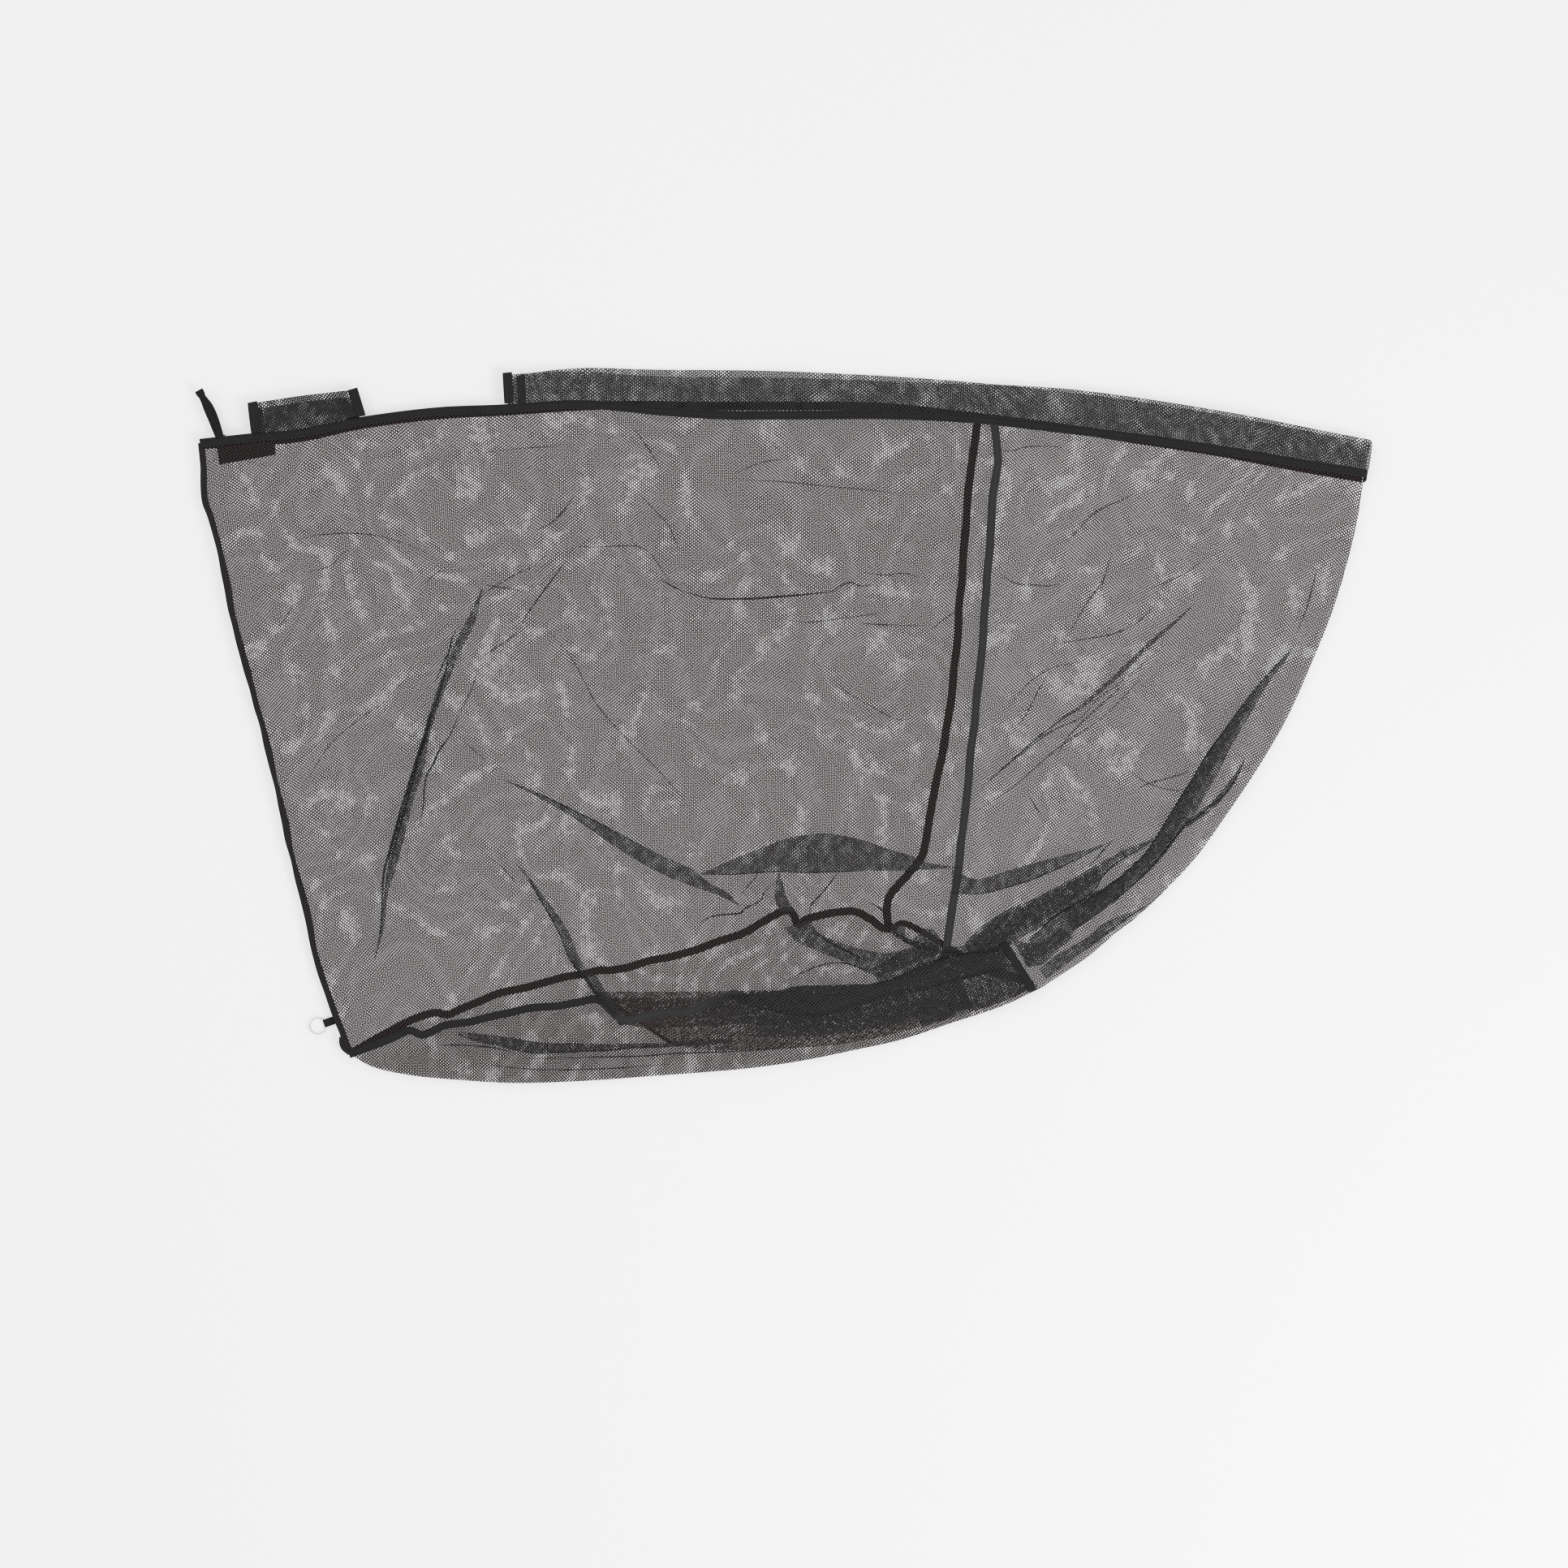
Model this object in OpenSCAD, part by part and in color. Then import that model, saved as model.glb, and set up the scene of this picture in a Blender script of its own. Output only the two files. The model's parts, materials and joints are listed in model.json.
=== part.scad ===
// Mesh catch net with pole sleeves, folded in half and laid flat.
//
// The mouth runs round the pole line (the rim, along +Y) and down the two mouth edges
// (towards -X). The rear panel is folded at its middle, along the curved edge at +X, and the
// floor panel is folded along the curved edge at -Y, so every part lies in a lower layer on
// the ground or in an upper layer above it. Origin: centre of the footprint, on the ground.

/* [Size] */
// Length of the folded net along the pole line
net_length = 1305; // [1100:5:1500]
// Depth of the folded net across the pole line
net_depth = 793; // [700:1:900]
// Height of the air gap between the two layers
layer_gap = 9.2; // [8.5:0.1:14]

/* [Mesh] */
// Thickness of one layer of mesh
cloth = 0.8; // [0.6:0.1:1]
// Flat height of a rim sleeve
sleeve_h = 9; // [8.5:0.1:9]

/* [Binding] */
// Finished width of the binding folded over an edge or a seam
tape_w = 10; // [8:0.5:12]
// Thickness of the folded binding
tape_t = 2; // [1.5:0.1:2.2]
// Width of the narrow binding on the mouth edges
mouth_w = 5; // [4:0.5:6]

/* [Fittings] */
// Length of the hook-and-loop patches
patch_l = 63; // [50:1:64]
// Width of the hook-and-loop patches
patch_w = 21; // [16:1:25]
// Outer diameter of the clear ring
ring_d = 19.6; // [18:0.2:22]
// Thickness of the clear ring's wire
ring_wire = 1.8; // [1.6:0.1:1.8]
// Length of the tape tab that holds the ring
tab_l = 7; // [5:0.5:7]

/* [Hidden] */

mesh_colour = [0.16, 0.155, 0.155];
tape_colour = [0.10, 0.10, 0.105];
patch_colour = [0.05, 0.05, 0.05];
clear_colour = [0.85, 0.88, 0.90, 0.4];

nominal_length = 1305;
nominal_depth = 793;
footprint_centre = [1.5, 0];
clear_gap = 0.3;                         // between pieces that are sewn edge to edge
fold_gap = 0.1;                          // between the faces and the folded edges of one cloth
upper_z = cloth + layer_gap;             // underside of the upper layer of mesh
upper_tape_z = upper_z - 0.5;
net_top = upper_z + cloth;
upper_sleeve_z = sleeve_h + 0.5;
bottom_sleeve_h = layer_gap - 0.6;
steps = 5;                               // points on each span of a curve

// Outlines of the net as it lies, at its nominal size, in a plan seen from above.
rim_points = [[-647, 313], [-535, 322], [-463, 338], [-383, 349], [-220, 355], [-58, 342],
    [121, 342], [211, 339], [391, 317], [646, 280]];
sleeve_top_points = [[-310, 388], [-194, 396], [-58, 393], [157, 383], [265, 378], [373, 367],
    [481, 348], [652, 316]];
fold_points = [[646, 280], [606, 120], [560, 12], [493, -96], [400, -204], [284, -294]];
keel_points = [[284, -294], [157, -340], [-58, -384], [-275, -396], [-400, -390], [-484, -367]];
mouth_points = [[-645, 313], [-642, 262], [-593, 39], [-534, -204], [-505, -312], [-484, -366]];
upper_side_seam_points = [[232, 337], [237, 288], [228, 200], [214, 30], [200, -96], [186, -204],
    [178, -258]];
lower_side_seam_points = [[216, 338], [203, 230], [192, 84], [178, -24], [152, -148], [121, -188],
    [116, -222]];
upper_bottom_seam_points = [[-484, -366], [-402, -342], [-282, -314], [-205, -305], [-60, -300],
    [60, -285], [178, -258]];
lower_bottom_seam_points = [[-484, -366], [-412, -323], [-303, -295], [-196, -270], [-47, -231],
    [4, -212], [60, -212], [116, -222]];
upper_rear_seam_points = [[178, -258], [230, -272], [284, -294]];
lower_rear_seam_points = [[116, -222], [200, -262], [284, -294]];
// The lower and upper edges of each sleeve, on the rim and along the bottom seam.
short_top_points = [[-590, 357], [-530, 363], [-466, 369]];
upper_bottom_low_points = [[-195, -342], [-60, -338], [100, -322], [270, -290]];
upper_bottom_top_points = [[-195, -302], [-20, -298], [120, -280], [252, -250]];
lower_bottom_low_points = [[-200, -354], [-60, -350], [100, -332], [200, -308]];
lower_bottom_top_points = [[-200, -314], [-20, -308], [110, -294], [200, -276]];

// Where the sleeves begin and end along the pole line.
long_sleeve_x = [-310, 652];
short_sleeve_x = [-590, -466];
upper_bottom_sleeve_x = [-195, 262];
lower_bottom_sleeve_x = [-200, 190];
binding_wall = 1.2;
sleeve_turn = 14;                        // length of the turn where the long sleeve is folded

// The pull loop leaves the rim near its end and points away from the net.
loop_points = [[-624, 325.5], [-630, 340], [-637, 354], [-643, 366]];
loop_tape_w = [10.4, 10.8, 8.6, 7.4];
loop_t = 2.4;
loop_tip = 5.2;
loop_axis_at = [-624, 324.8];
tack_at = [-624, 321.6];
tack_turn = 4.6;

// The tab for the ring stands out from the mouth edge, which slopes here.
tab_at = [-503.6, -326.3];
tab_turn = 199.4;
tab_wall = 0.6;
ring_r = (ring_d - ring_wire) / 2;
tab_inner_h = ring_wire + 2 * (tab_l * tab_l / 8 / ring_r + 0.15);
ring_z = tab_inner_h / 2 + tab_wall;
tab_reach = 5.4;

// ---- curves ----

function sized(points) = [for (p = points) [
    (p.x - footprint_centre.x) * net_length / nominal_length,
    (p.y - footprint_centre.y) * net_depth / nominal_depth]];
function spline_point(a, b, c, d, t) =
    0.5 * (2 * b + (c - a) * t + (2 * a - 5 * b + 4 * c - d) * t * t
        + (3 * b - a - 3 * c + d) * t * t * t);
// A smooth curve through points, with the end spans running straight out.
function smooth(points) = let (p = sized(points), last = len(p) - 1) concat(
    [for (i = [0:last - 1], k = [0:steps - 1])
        spline_point(
            i == 0 ? 2 * p[0] - p[1] : p[i - 1], p[i], p[i + 1],
            i == last - 1 ? 2 * p[last] - p[last - 1] : p[i + 2], k / steps)],
    [p[last]]);
function reversed(list) = [for (i = [len(list) - 1:-1:0]) list[i]];
function unit(v) = v / norm(v);
function side_of(path, i) = let (
    d = unit(path[min(i + 1, len(path) - 1)] - path[max(i - 1, 0)])) [-d.y, d.x];
// The curve moved sideways by d, to the left of its direction.
function beside(path, d) = [for (i = [0:len(path) - 1]) path[i] + d * side_of(path, i)];
// The curve with each end lengthened by d.
function longer(path, d) = let (n = len(path) - 1) concat(
    [path[0] - d * unit(path[1] - path[0])], path,
    [path[n] + d * unit(path[n] - path[n - 1])]);
function left_of(path, x) = [for (p = path) if (p.x < x) p];
function right_of(path, x) = [for (p = path) if (p.x > x) p];

rim = smooth(rim_points);
sleeve_top = smooth(sleeve_top_points);
fold = smooth(fold_points);
keel = smooth(keel_points);
mouth = smooth(mouth_points);
upper_side_seam = smooth(upper_side_seam_points);
lower_side_seam = smooth(lower_side_seam_points);
upper_bottom_seam = smooth(upper_bottom_seam_points);
lower_bottom_seam = smooth(lower_bottom_seam_points);
upper_rear_seam = smooth(upper_rear_seam_points);
lower_rear_seam = smooth(lower_rear_seam_points);
sleeve_foot = beside(rim, tape_w / 2 + clear_gap);

// ---- building blocks ----

// A flat sheet with the given outline, from height z up, t thick.
module sheet(outline, z, t) translate([0, 0, z]) linear_extrude(t) polygon(outline);

// A strip of width w along a path.
module strip(path, w, z, t) sheet(concat(beside(path, w / 2), reversed(beside(path, -w / 2))), z, t);

// The room that binding along a path takes out of a sheet of mesh, d past its ends.
module binding_room(path, w, d = 20) strip(longer(path, d), w + 2 * clear_gap, -1, net_top + 3);

// The outline of a sleeve between its two long edges, from x0 to x1, set in by inset.
function sleeve_outline(low, top, x0, x1, inset) = let (n = 24) concat(
    [for (i = [0:n]) let (x = x0 + (x1 - x0) * i / n) [x, lookup(x, low) + inset]],
    [for (i = [n:-1:0]) let (x = x0 + (x1 - x0) * i / n) [x, lookup(x, top) - inset]]);

// A length of flattened sleeve h tall, open at both ends.
module sleeve(low, top, x0, x1, z, h, wall) difference() {
    sheet(sleeve_outline(low, top, x0, x1, 0), z, h);
    sheet(sleeve_outline(low, top, x0 - 1, x1 + 1, wall), z + wall, h - 2 * wall);
}

// The binding folded over both mouths of a sleeve, each tape_w long.
module sleeve_mouths(low, top, x, z, h) for (x0 = [x[0], x[1] - tape_w])
    sleeve(low, top, x0, x0 + tape_w, z, h, binding_wall);

// The mesh of a sleeve between the bindings on its mouths.
module sleeve_mesh(low, top, x, z, h)
    sleeve(low, top, x[0] + tape_w + clear_gap, x[1] - tape_w - clear_gap, z, h, cloth);

// One flat face of a sleeve.
module sleeve_face(low, top, x0, x1, z)
    sheet(sleeve_outline(low, top, x0, x1, cloth + fold_gap), z, cloth);

// The folded edge and the sewn edge of a sleeve h tall.
module sleeve_edges(low, top, x0, x1, z, h) difference() {
    sheet(sleeve_outline(low, top, x0, x1, 0), z, h);
    sheet(sleeve_outline(low, top, x0 - 1, x1 + 1, cloth), z - 1, h + 2);
}

function sized_x(x) = [for (v = x) (v - footprint_centre.x) * net_length / nominal_length];
long_x = sized_x(long_sleeve_x);
short_x = sized_x(short_sleeve_x);
upper_bottom_x = sized_x(upper_bottom_sleeve_x);
lower_bottom_x = sized_x(lower_bottom_sleeve_x);
short_top = smooth(short_top_points);
upper_bottom_low = smooth(upper_bottom_low_points);
upper_bottom_top = smooth(upper_bottom_top_points);
lower_bottom_low = smooth(lower_bottom_low_points);
lower_bottom_top = smooth(lower_bottom_top_points);

// ---- mesh panels ----

// A side panel lies between the rim, its side seam, its bottom seam and the mouth edge.
module side_panel(side_seam, bottom_seam, z) color(mesh_colour) difference() {
    sheet(concat(left_of(rim, side_seam[0].x), side_seam, reversed(bottom_seam),
        reversed(mouth)), z, cloth);
    binding_room(rim, tape_w);
    binding_room(mouth, mouth_w);
    binding_room(side_seam, tape_w);
    binding_room(bottom_seam, tape_w);
}

module lower_side_panel() side_panel(lower_side_seam, lower_bottom_seam, 0);
module upper_side_panel() side_panel(upper_side_seam, upper_bottom_seam, upper_z);

// The fold of a panel: its cloth turned from the lower layer to the upper one along a curve.
module panel_fold(path) strip(beside(path, -cloth / 2), cloth, 0, net_top);
module fold_room(path) strip(longer(path, 20), 2 * (cloth + fold_gap), -1, net_top + 3);

// One leaf of the rear panel, from its side seam to the fold at its middle.
module rear_leaf(side_seam, rear_seam, z) color(mesh_colour) difference() {
    sheet(concat(side_seam, rear_seam, reversed(fold), reversed(right_of(rim, side_seam[0].x))),
        z, cloth);
    binding_room(rim, tape_w);
    binding_room(side_seam, tape_w);
    binding_room(rear_seam, tape_w);
    fold_room(fold);
}
module lower_rear_panel() rear_leaf(lower_side_seam, lower_rear_seam, 0);
module upper_rear_panel() rear_leaf(upper_side_seam, upper_rear_seam, upper_z);

module rear_panel_fold() color(mesh_colour) difference() {
    panel_fold(fold);
    binding_room(rim, tape_w);
    binding_room(upper_rear_seam, tape_w);
    binding_room(lower_rear_seam, tape_w);
}

// One leaf of the floor panel, from its seams to the fold along the keel.
module floor_leaf(side_seam, bottom_seam, rear_seam, z) color(mesh_colour) difference() {
    sheet(concat(bottom_seam, rear_seam, keel), z, cloth);
    binding_room(bottom_seam, tape_w, 4);
    binding_room(rear_seam, tape_w);
    binding_room(side_seam, tape_w, 5);
    binding_room(mouth, mouth_w);
    fold_room(keel);
}
module lower_floor_panel() floor_leaf(lower_side_seam, lower_bottom_seam, lower_rear_seam, 0);
module upper_floor_panel()
    floor_leaf(upper_side_seam, upper_bottom_seam, upper_rear_seam, upper_z);

module floor_panel_fold() color(mesh_colour) difference() {
    panel_fold(keel);
    for (seam = [upper_rear_seam, lower_rear_seam, upper_bottom_seam, lower_bottom_seam])
        binding_room(seam, tape_w);
    binding_room(mouth, mouth_w);
}

// ---- pole sleeves ----

// The long sleeve runs round the rear of the rim, so it is folded back on itself at +X.
long_start = long_x[0] + tape_w + clear_gap;
long_stop = long_x[1] - sleeve_turn;
module long_face(z) color(mesh_colour)
    sleeve_face(sleeve_foot, sleeve_top, long_start, long_stop, z);
module long_edges(z) color(mesh_colour)
    sleeve_edges(sleeve_foot, sleeve_top, long_start, long_stop, z, sleeve_h);
module lower_long_sleeve_under() long_face(0);
module lower_long_sleeve_top() long_face(sleeve_h - cloth);
module lower_long_sleeve_edges() long_edges(0);
module upper_long_sleeve_under() long_face(upper_sleeve_z);
module upper_long_sleeve_top() long_face(upper_sleeve_z + sleeve_h - cloth);
module upper_long_sleeve_edges() long_edges(upper_sleeve_z);

module long_sleeve_turn() color(mesh_colour) difference() {
    start = long_stop + clear_gap;
    top_z = upper_sleeve_z + sleeve_h;
    sheet(sleeve_outline(sleeve_foot, sleeve_top, start, long_x[1], 0), 0, top_z);
    sheet(sleeve_outline(sleeve_foot, sleeve_top, start - 1, long_x[1] - cloth, cloth),
        cloth, top_z - 2 * cloth);
}

module long_sleeve_end_bindings() color(tape_colour) for (z = [0, upper_sleeve_z])
    sleeve(sleeve_foot, sleeve_top, long_x[0], long_x[0] + tape_w, z, sleeve_h, binding_wall);

module lower_short_sleeve() color(mesh_colour)
    sleeve_mesh(sleeve_foot, short_top, short_x, 0, sleeve_h);
module upper_short_sleeve() color(mesh_colour)
    sleeve_mesh(sleeve_foot, short_top, short_x, upper_sleeve_z, sleeve_h);
module lower_short_sleeve_bindings() color(tape_colour)
    sleeve_mouths(sleeve_foot, short_top, short_x, 0, sleeve_h);
module upper_short_sleeve_bindings() color(tape_colour)
    sleeve_mouths(sleeve_foot, short_top, short_x, upper_sleeve_z, sleeve_h);

// The lower bottom sleeve lies between the layers, and the upper one on top of them.
lower_bottom_z = cloth + clear_gap;
upper_bottom_z = upper_tape_z + tape_t + clear_gap;
mouth_margin = tape_w + clear_gap;
module lower_bottom_face(z) color(mesh_colour) sleeve_face(lower_bottom_low, lower_bottom_top,
    lower_bottom_x[0] + mouth_margin, lower_bottom_x[1] - mouth_margin, z);
module upper_bottom_face(z) color(mesh_colour) sleeve_face(upper_bottom_low, upper_bottom_top,
    upper_bottom_x[0] + mouth_margin, upper_bottom_x[1] - mouth_margin, z);
module lower_bottom_sleeve_under() lower_bottom_face(lower_bottom_z);
module lower_bottom_sleeve_top() lower_bottom_face(lower_bottom_z + bottom_sleeve_h - cloth);
module upper_bottom_sleeve_under() upper_bottom_face(upper_bottom_z);
module upper_bottom_sleeve_top() upper_bottom_face(upper_bottom_z + bottom_sleeve_h - cloth);
module lower_bottom_sleeve_edges() color(mesh_colour) sleeve_edges(
    lower_bottom_low, lower_bottom_top, lower_bottom_x[0] + mouth_margin,
    lower_bottom_x[1] - mouth_margin, lower_bottom_z, bottom_sleeve_h);
module upper_bottom_sleeve_edges() color(mesh_colour) sleeve_edges(
    upper_bottom_low, upper_bottom_top, upper_bottom_x[0] + mouth_margin,
    upper_bottom_x[1] - mouth_margin, upper_bottom_z, bottom_sleeve_h);
module lower_bottom_sleeve_bindings() color(tape_colour) sleeve_mouths(
    lower_bottom_low, lower_bottom_top, lower_bottom_x, lower_bottom_z, bottom_sleeve_h);
module upper_bottom_sleeve_bindings() color(tape_colour) sleeve_mouths(
    upper_bottom_low, upper_bottom_top, upper_bottom_x, upper_bottom_z, bottom_sleeve_h);

// ---- bindings and seam tapes ----

// One tape runs along both layers of the rim and turns over at the fold.
rim_end = len(rim) - 1;
rim_way = unit(rim[rim_end] - rim[rim_end - 1]);
module rim_strip(z) color(tape_colour) difference() {
    strip(rim, tape_w, z, tape_t);
    strip([rim[rim_end] - (tape_t + fold_gap) * rim_way, rim[rim_end] + rim_way], tape_w + 1, -1,
        net_top + 3);
}
module lower_rim_binding() rim_strip(0);
module upper_rim_binding() rim_strip(upper_tape_z);
module rim_binding_turn() color(tape_colour)
    strip([rim[rim_end] - tape_t * rim_way, rim[rim_end]], tape_w, 0, upper_tape_z + tape_t);

module mouth_binding(z) color(tape_colour) difference() {
    strip(mouth, mouth_w, z, tape_t);
    binding_room(rim, tape_w);
}
module lower_mouth_binding() mouth_binding(0);
module upper_mouth_binding() mouth_binding(upper_tape_z);

// A side seam runs from the rim to the corner where it meets the other two seams.
module side_seam_tape(side_seam, z) color(tape_colour) difference() {
    strip(concat(side_seam, [last_of(longer(side_seam, tape_w / 2))]), tape_w, z, tape_t);
    binding_room(rim, tape_w);
}
function last_of(path) = path[len(path) - 1];
module lower_side_seam_tape() side_seam_tape(lower_side_seam, 0);
module upper_side_seam_tape() side_seam_tape(upper_side_seam, upper_tape_z);

module bottom_seam_tape(side_seam, bottom_seam, z) color(tape_colour) difference() {
    strip(bottom_seam, tape_w, z, tape_t);
    binding_room(mouth, mouth_w);
    binding_room(side_seam, tape_w);
}
module lower_bottom_seam_tape() bottom_seam_tape(lower_side_seam, lower_bottom_seam, 0);
module upper_bottom_seam_tape()
    bottom_seam_tape(upper_side_seam, upper_bottom_seam, upper_tape_z);

// The two rear seams end at the fold, where the fold's turned edge covers them.
module rear_seam_tape(side_seam, rear_seam, z) color(tape_colour) difference() {
    strip(rear_seam, tape_w, z, tape_t);
    binding_room(side_seam, tape_w);
}
module lower_rear_seam_tape() rear_seam_tape(lower_side_seam, lower_rear_seam, 0);
module upper_rear_seam_tape() rear_seam_tape(upper_side_seam, upper_rear_seam, upper_tape_z);

// ---- fittings ----

// The hook-and-loop patches face each other between the layers at the mouth.
module patch(z) color(patch_colour) translate(sized([[-597, 299]])[0]) rotate(4.6)
    translate([-patch_l / 2, -patch_w / 2, z]) cube([patch_l, patch_w, 1.8]);
module hook_patch() patch(cloth + clear_gap);
module loop_patch() patch(upper_tape_z - clear_gap - 1.8);

// The loop is a folded tape with a round root, pinched towards its rounded tip.
module pull_loop() color(tape_colour) translate([0, 0, upper_tape_z]) {
    path = sized(loop_points);
    for (i = [0:len(path) - 2]) hull() for (k = [i, i + 1])
        translate(path[k]) rotate(atan2(side_of(path, k).y, side_of(path, k).x))
            translate([-loop_tape_w[k] / 2, -0.1]) cube([loop_tape_w[k], 0.2, loop_t]);
    translate(last_of(path)) cylinder(r = loop_tip, h = loop_t, $fn = 32);
    translate(concat(sized([loop_axis_at])[0], [loop_t / 2])) rotate([0, 0, tack_turn])
        rotate([0, 90, 0]) cylinder(d = loop_t, h = 10, center = true, $fn = 32);
}

// The stitched root of the pull loop.
module pull_loop_tack() color(tape_colour) translate(sized([tack_at])[0]) rotate(tack_turn)
    translate([-6, -1, upper_tape_z + 0.6]) cube([12, 2, 1.2]);

module in_tab_frame() translate(sized([tab_at])[0]) rotate(tab_turn) children();

// The tab is a short folded tape with the ring through its eye.
module ring_tab() color(tape_colour) in_tab_frame() translate([0, tab_l / 2, ring_z])
    rotate([90, 0, 0]) difference() {
        outer_r = tab_inner_h / 2 + tab_wall;
        union() {
            translate([tab_reach, 0]) cylinder(r = outer_r, h = tab_l, $fn = 40);
            translate([clear_gap, -outer_r]) cube([tab_reach - clear_gap, 2 * outer_r, tab_l]);
        }
        translate([tab_reach, 0, -1]) cylinder(d = tab_inner_h, h = tab_l + 2, $fn = 40);
    }

module clear_ring() color(clear_colour) in_tab_frame()
    translate([tab_reach + ring_r, 0, ring_z])
        rotate_extrude($fn = 64) translate([ring_r, 0]) circle(d = ring_wire, $fn = 20);

lower_side_panel();
upper_side_panel();
lower_rear_panel();
upper_rear_panel();
rear_panel_fold();
lower_floor_panel();
upper_floor_panel();
floor_panel_fold();
lower_long_sleeve_under();
lower_long_sleeve_top();
lower_long_sleeve_edges();
upper_long_sleeve_under();
upper_long_sleeve_top();
upper_long_sleeve_edges();
long_sleeve_turn();
lower_short_sleeve();
upper_short_sleeve();
lower_bottom_sleeve_under();
lower_bottom_sleeve_top();
lower_bottom_sleeve_edges();
upper_bottom_sleeve_under();
upper_bottom_sleeve_top();
upper_bottom_sleeve_edges();
lower_rim_binding();
upper_rim_binding();
rim_binding_turn();
lower_mouth_binding();
upper_mouth_binding();
lower_side_seam_tape();
upper_side_seam_tape();
lower_bottom_seam_tape();
upper_bottom_seam_tape();
lower_rear_seam_tape();
upper_rear_seam_tape();
long_sleeve_end_bindings();
lower_short_sleeve_bindings();
upper_short_sleeve_bindings();
lower_bottom_sleeve_bindings();
upper_bottom_sleeve_bindings();
hook_patch();
loop_patch();
pull_loop();
pull_loop_tack();
ring_tab();
clear_ring();
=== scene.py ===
import json
import math

import bpy
import numpy as np
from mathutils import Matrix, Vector


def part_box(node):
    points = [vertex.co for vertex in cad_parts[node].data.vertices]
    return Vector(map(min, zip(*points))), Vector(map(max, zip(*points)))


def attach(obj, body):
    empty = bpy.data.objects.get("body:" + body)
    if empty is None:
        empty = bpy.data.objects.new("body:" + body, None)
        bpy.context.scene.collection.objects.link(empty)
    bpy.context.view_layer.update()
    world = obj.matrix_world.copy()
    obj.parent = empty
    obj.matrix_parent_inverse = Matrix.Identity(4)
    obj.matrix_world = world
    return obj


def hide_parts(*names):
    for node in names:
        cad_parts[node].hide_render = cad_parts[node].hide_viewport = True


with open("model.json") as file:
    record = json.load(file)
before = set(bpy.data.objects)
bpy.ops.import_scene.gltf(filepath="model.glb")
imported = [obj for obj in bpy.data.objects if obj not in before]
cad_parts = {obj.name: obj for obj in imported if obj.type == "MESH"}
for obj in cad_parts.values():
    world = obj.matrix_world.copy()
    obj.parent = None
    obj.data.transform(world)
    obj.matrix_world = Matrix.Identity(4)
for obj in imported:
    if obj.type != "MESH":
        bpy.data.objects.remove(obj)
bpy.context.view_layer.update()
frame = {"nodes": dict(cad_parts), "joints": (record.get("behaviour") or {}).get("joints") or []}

MM = 0.001
BODY = "net"
SPAN_STEPS = 24        # steps of a curve between two of its points
WAVE_COUNT = 26        # sine waves in one random surface
WAVE_SPREAD = 0.45     # how far their headings spread, in radians
TINY = 1e-12           # keeps a division by no length harmless

# ---- Lines of the folded net from above, as x, y, x, y and so on in mm, in the part's frame ----
RIM_UPPER = [-648, 314, -592, 320, -538, 325, -466, 339, -385, 349, -313, 352, -223, 357, -133, 349,
    -61, 345, 29, 345, 119, 345, 209, 341, 299, 331, 389, 320, 479, 307, 569, 292, 640, 281]
RIM_LOWER = [-648, 313, -592, 317, -538, 321, -466, 336, -385, 346, -313, 350, -223, 356, -166, 357,
    -100, 356, -20, 356, 60, 356, 119, 354, 209, 344, 299, 333, 389, 319, 479, 305, 569, 288,
    639, 276]
MOUTH = [-648, 314, -648, 257, -640, 230, -626, 176, -616, 122, -602, 68, -587, 14, -573, -40,
    -561, -94, -549, -148, -535, -202, -524, -256, -506, -310, -495, -337, -483, -362]
SIDE_UPPER = [230, 339, 233, 318, 235, 293, 232, 274, 228, 248, 226, 198, 222, 158, 218, 95,
    211, 32, 204, -40, 198, -94, 192, -148, 184, -202, 178, -242, 176, -257]
SIDE_LOWER = [213, 342, 208, 305, 204, 276, 201, 248, 197, 185, 193, 140, 189, 86, 183, 32,
    175, -22, 164, -76, 154, -130, 148, -147, 134, -165, 117, -184, 112, -198, 113, -216, 117, -224]
BOTTOM_UPPER = [-483, -362, -451, -350.5, -435, -344, -418, -335.5, -411, -337, -402, -340.5,
    -390, -336, -376, -329.5, -345, -326, -306, -316, -285, -312, -234, -305, -208, -302,
    -196, -313, -181, -323, -167, -323, -154, -319, -131, -316, -116, -316, -101, -313, -86, -307,
    -70, -300, -58, -294, -43, -299, -30, -301, 17, -299, 60, -297, 100, -290, 140, -277, 176, -257]
BOTTOM_LOWER = [-483, -362, -450, -343, -416, -325, -398, -318.5, -387, -316.5, -375, -318.5,
    -364, -314, -350, -308, -306, -292, -246, -278, -210, -270, -193, -270, -150, -259, -117, -252,
    -50, -229, -4, -205, 8, -207, 14, -219, 27, -211, 71, -204, 92, -212, 106, -222, 117, -224]
REAR_UPPER = [176, -257, 230, -272, 284, -288]
REAR_LOWER = [117, -224, 136, -219, 200, -255, 284, -288]
FOLD = [641, 280, 637, 257, 633, 230, 620, 176, 603, 122, 581, 68, 557, 14, 526, -40, 490, -94,
    451, -148, 398, -202, 364, -229, 332, -256, 284, -288]
KEEL = [284, -288, 239, -309, 182, -328, 128, -346, 74, -358, 20, -369, -34, -377, -88, -382,
    -142, -386, -196, -390, -250, -393, -304, -394, -358, -391, -412, -386, -455, -377, -483, -362]
LONG_TOP_UPPER = [-309, 389, -277, 392, -223, 393, -142, 388, -34, 387, 74, 384, 182, 380, 290, 376,
    398, 363, 506, 345, 614, 324, 645, 318]
LONG_TOP_LOWER = [-309, 384, -277, 393, -223, 398, -142, 396, -34, 395, 74, 391, 182, 384, 290, 374,
    398, 360, 506, 342, 614, 321, 645, 315]
LOWER_Z, UPPER_Z = 1.2, 9.4      # mean heights of the two layers in mm


# ---- Curves, smooth noise and grids ----
def pairs(numbers):
    return np.reshape(np.array(numbers, float), (-1, 2))


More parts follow.
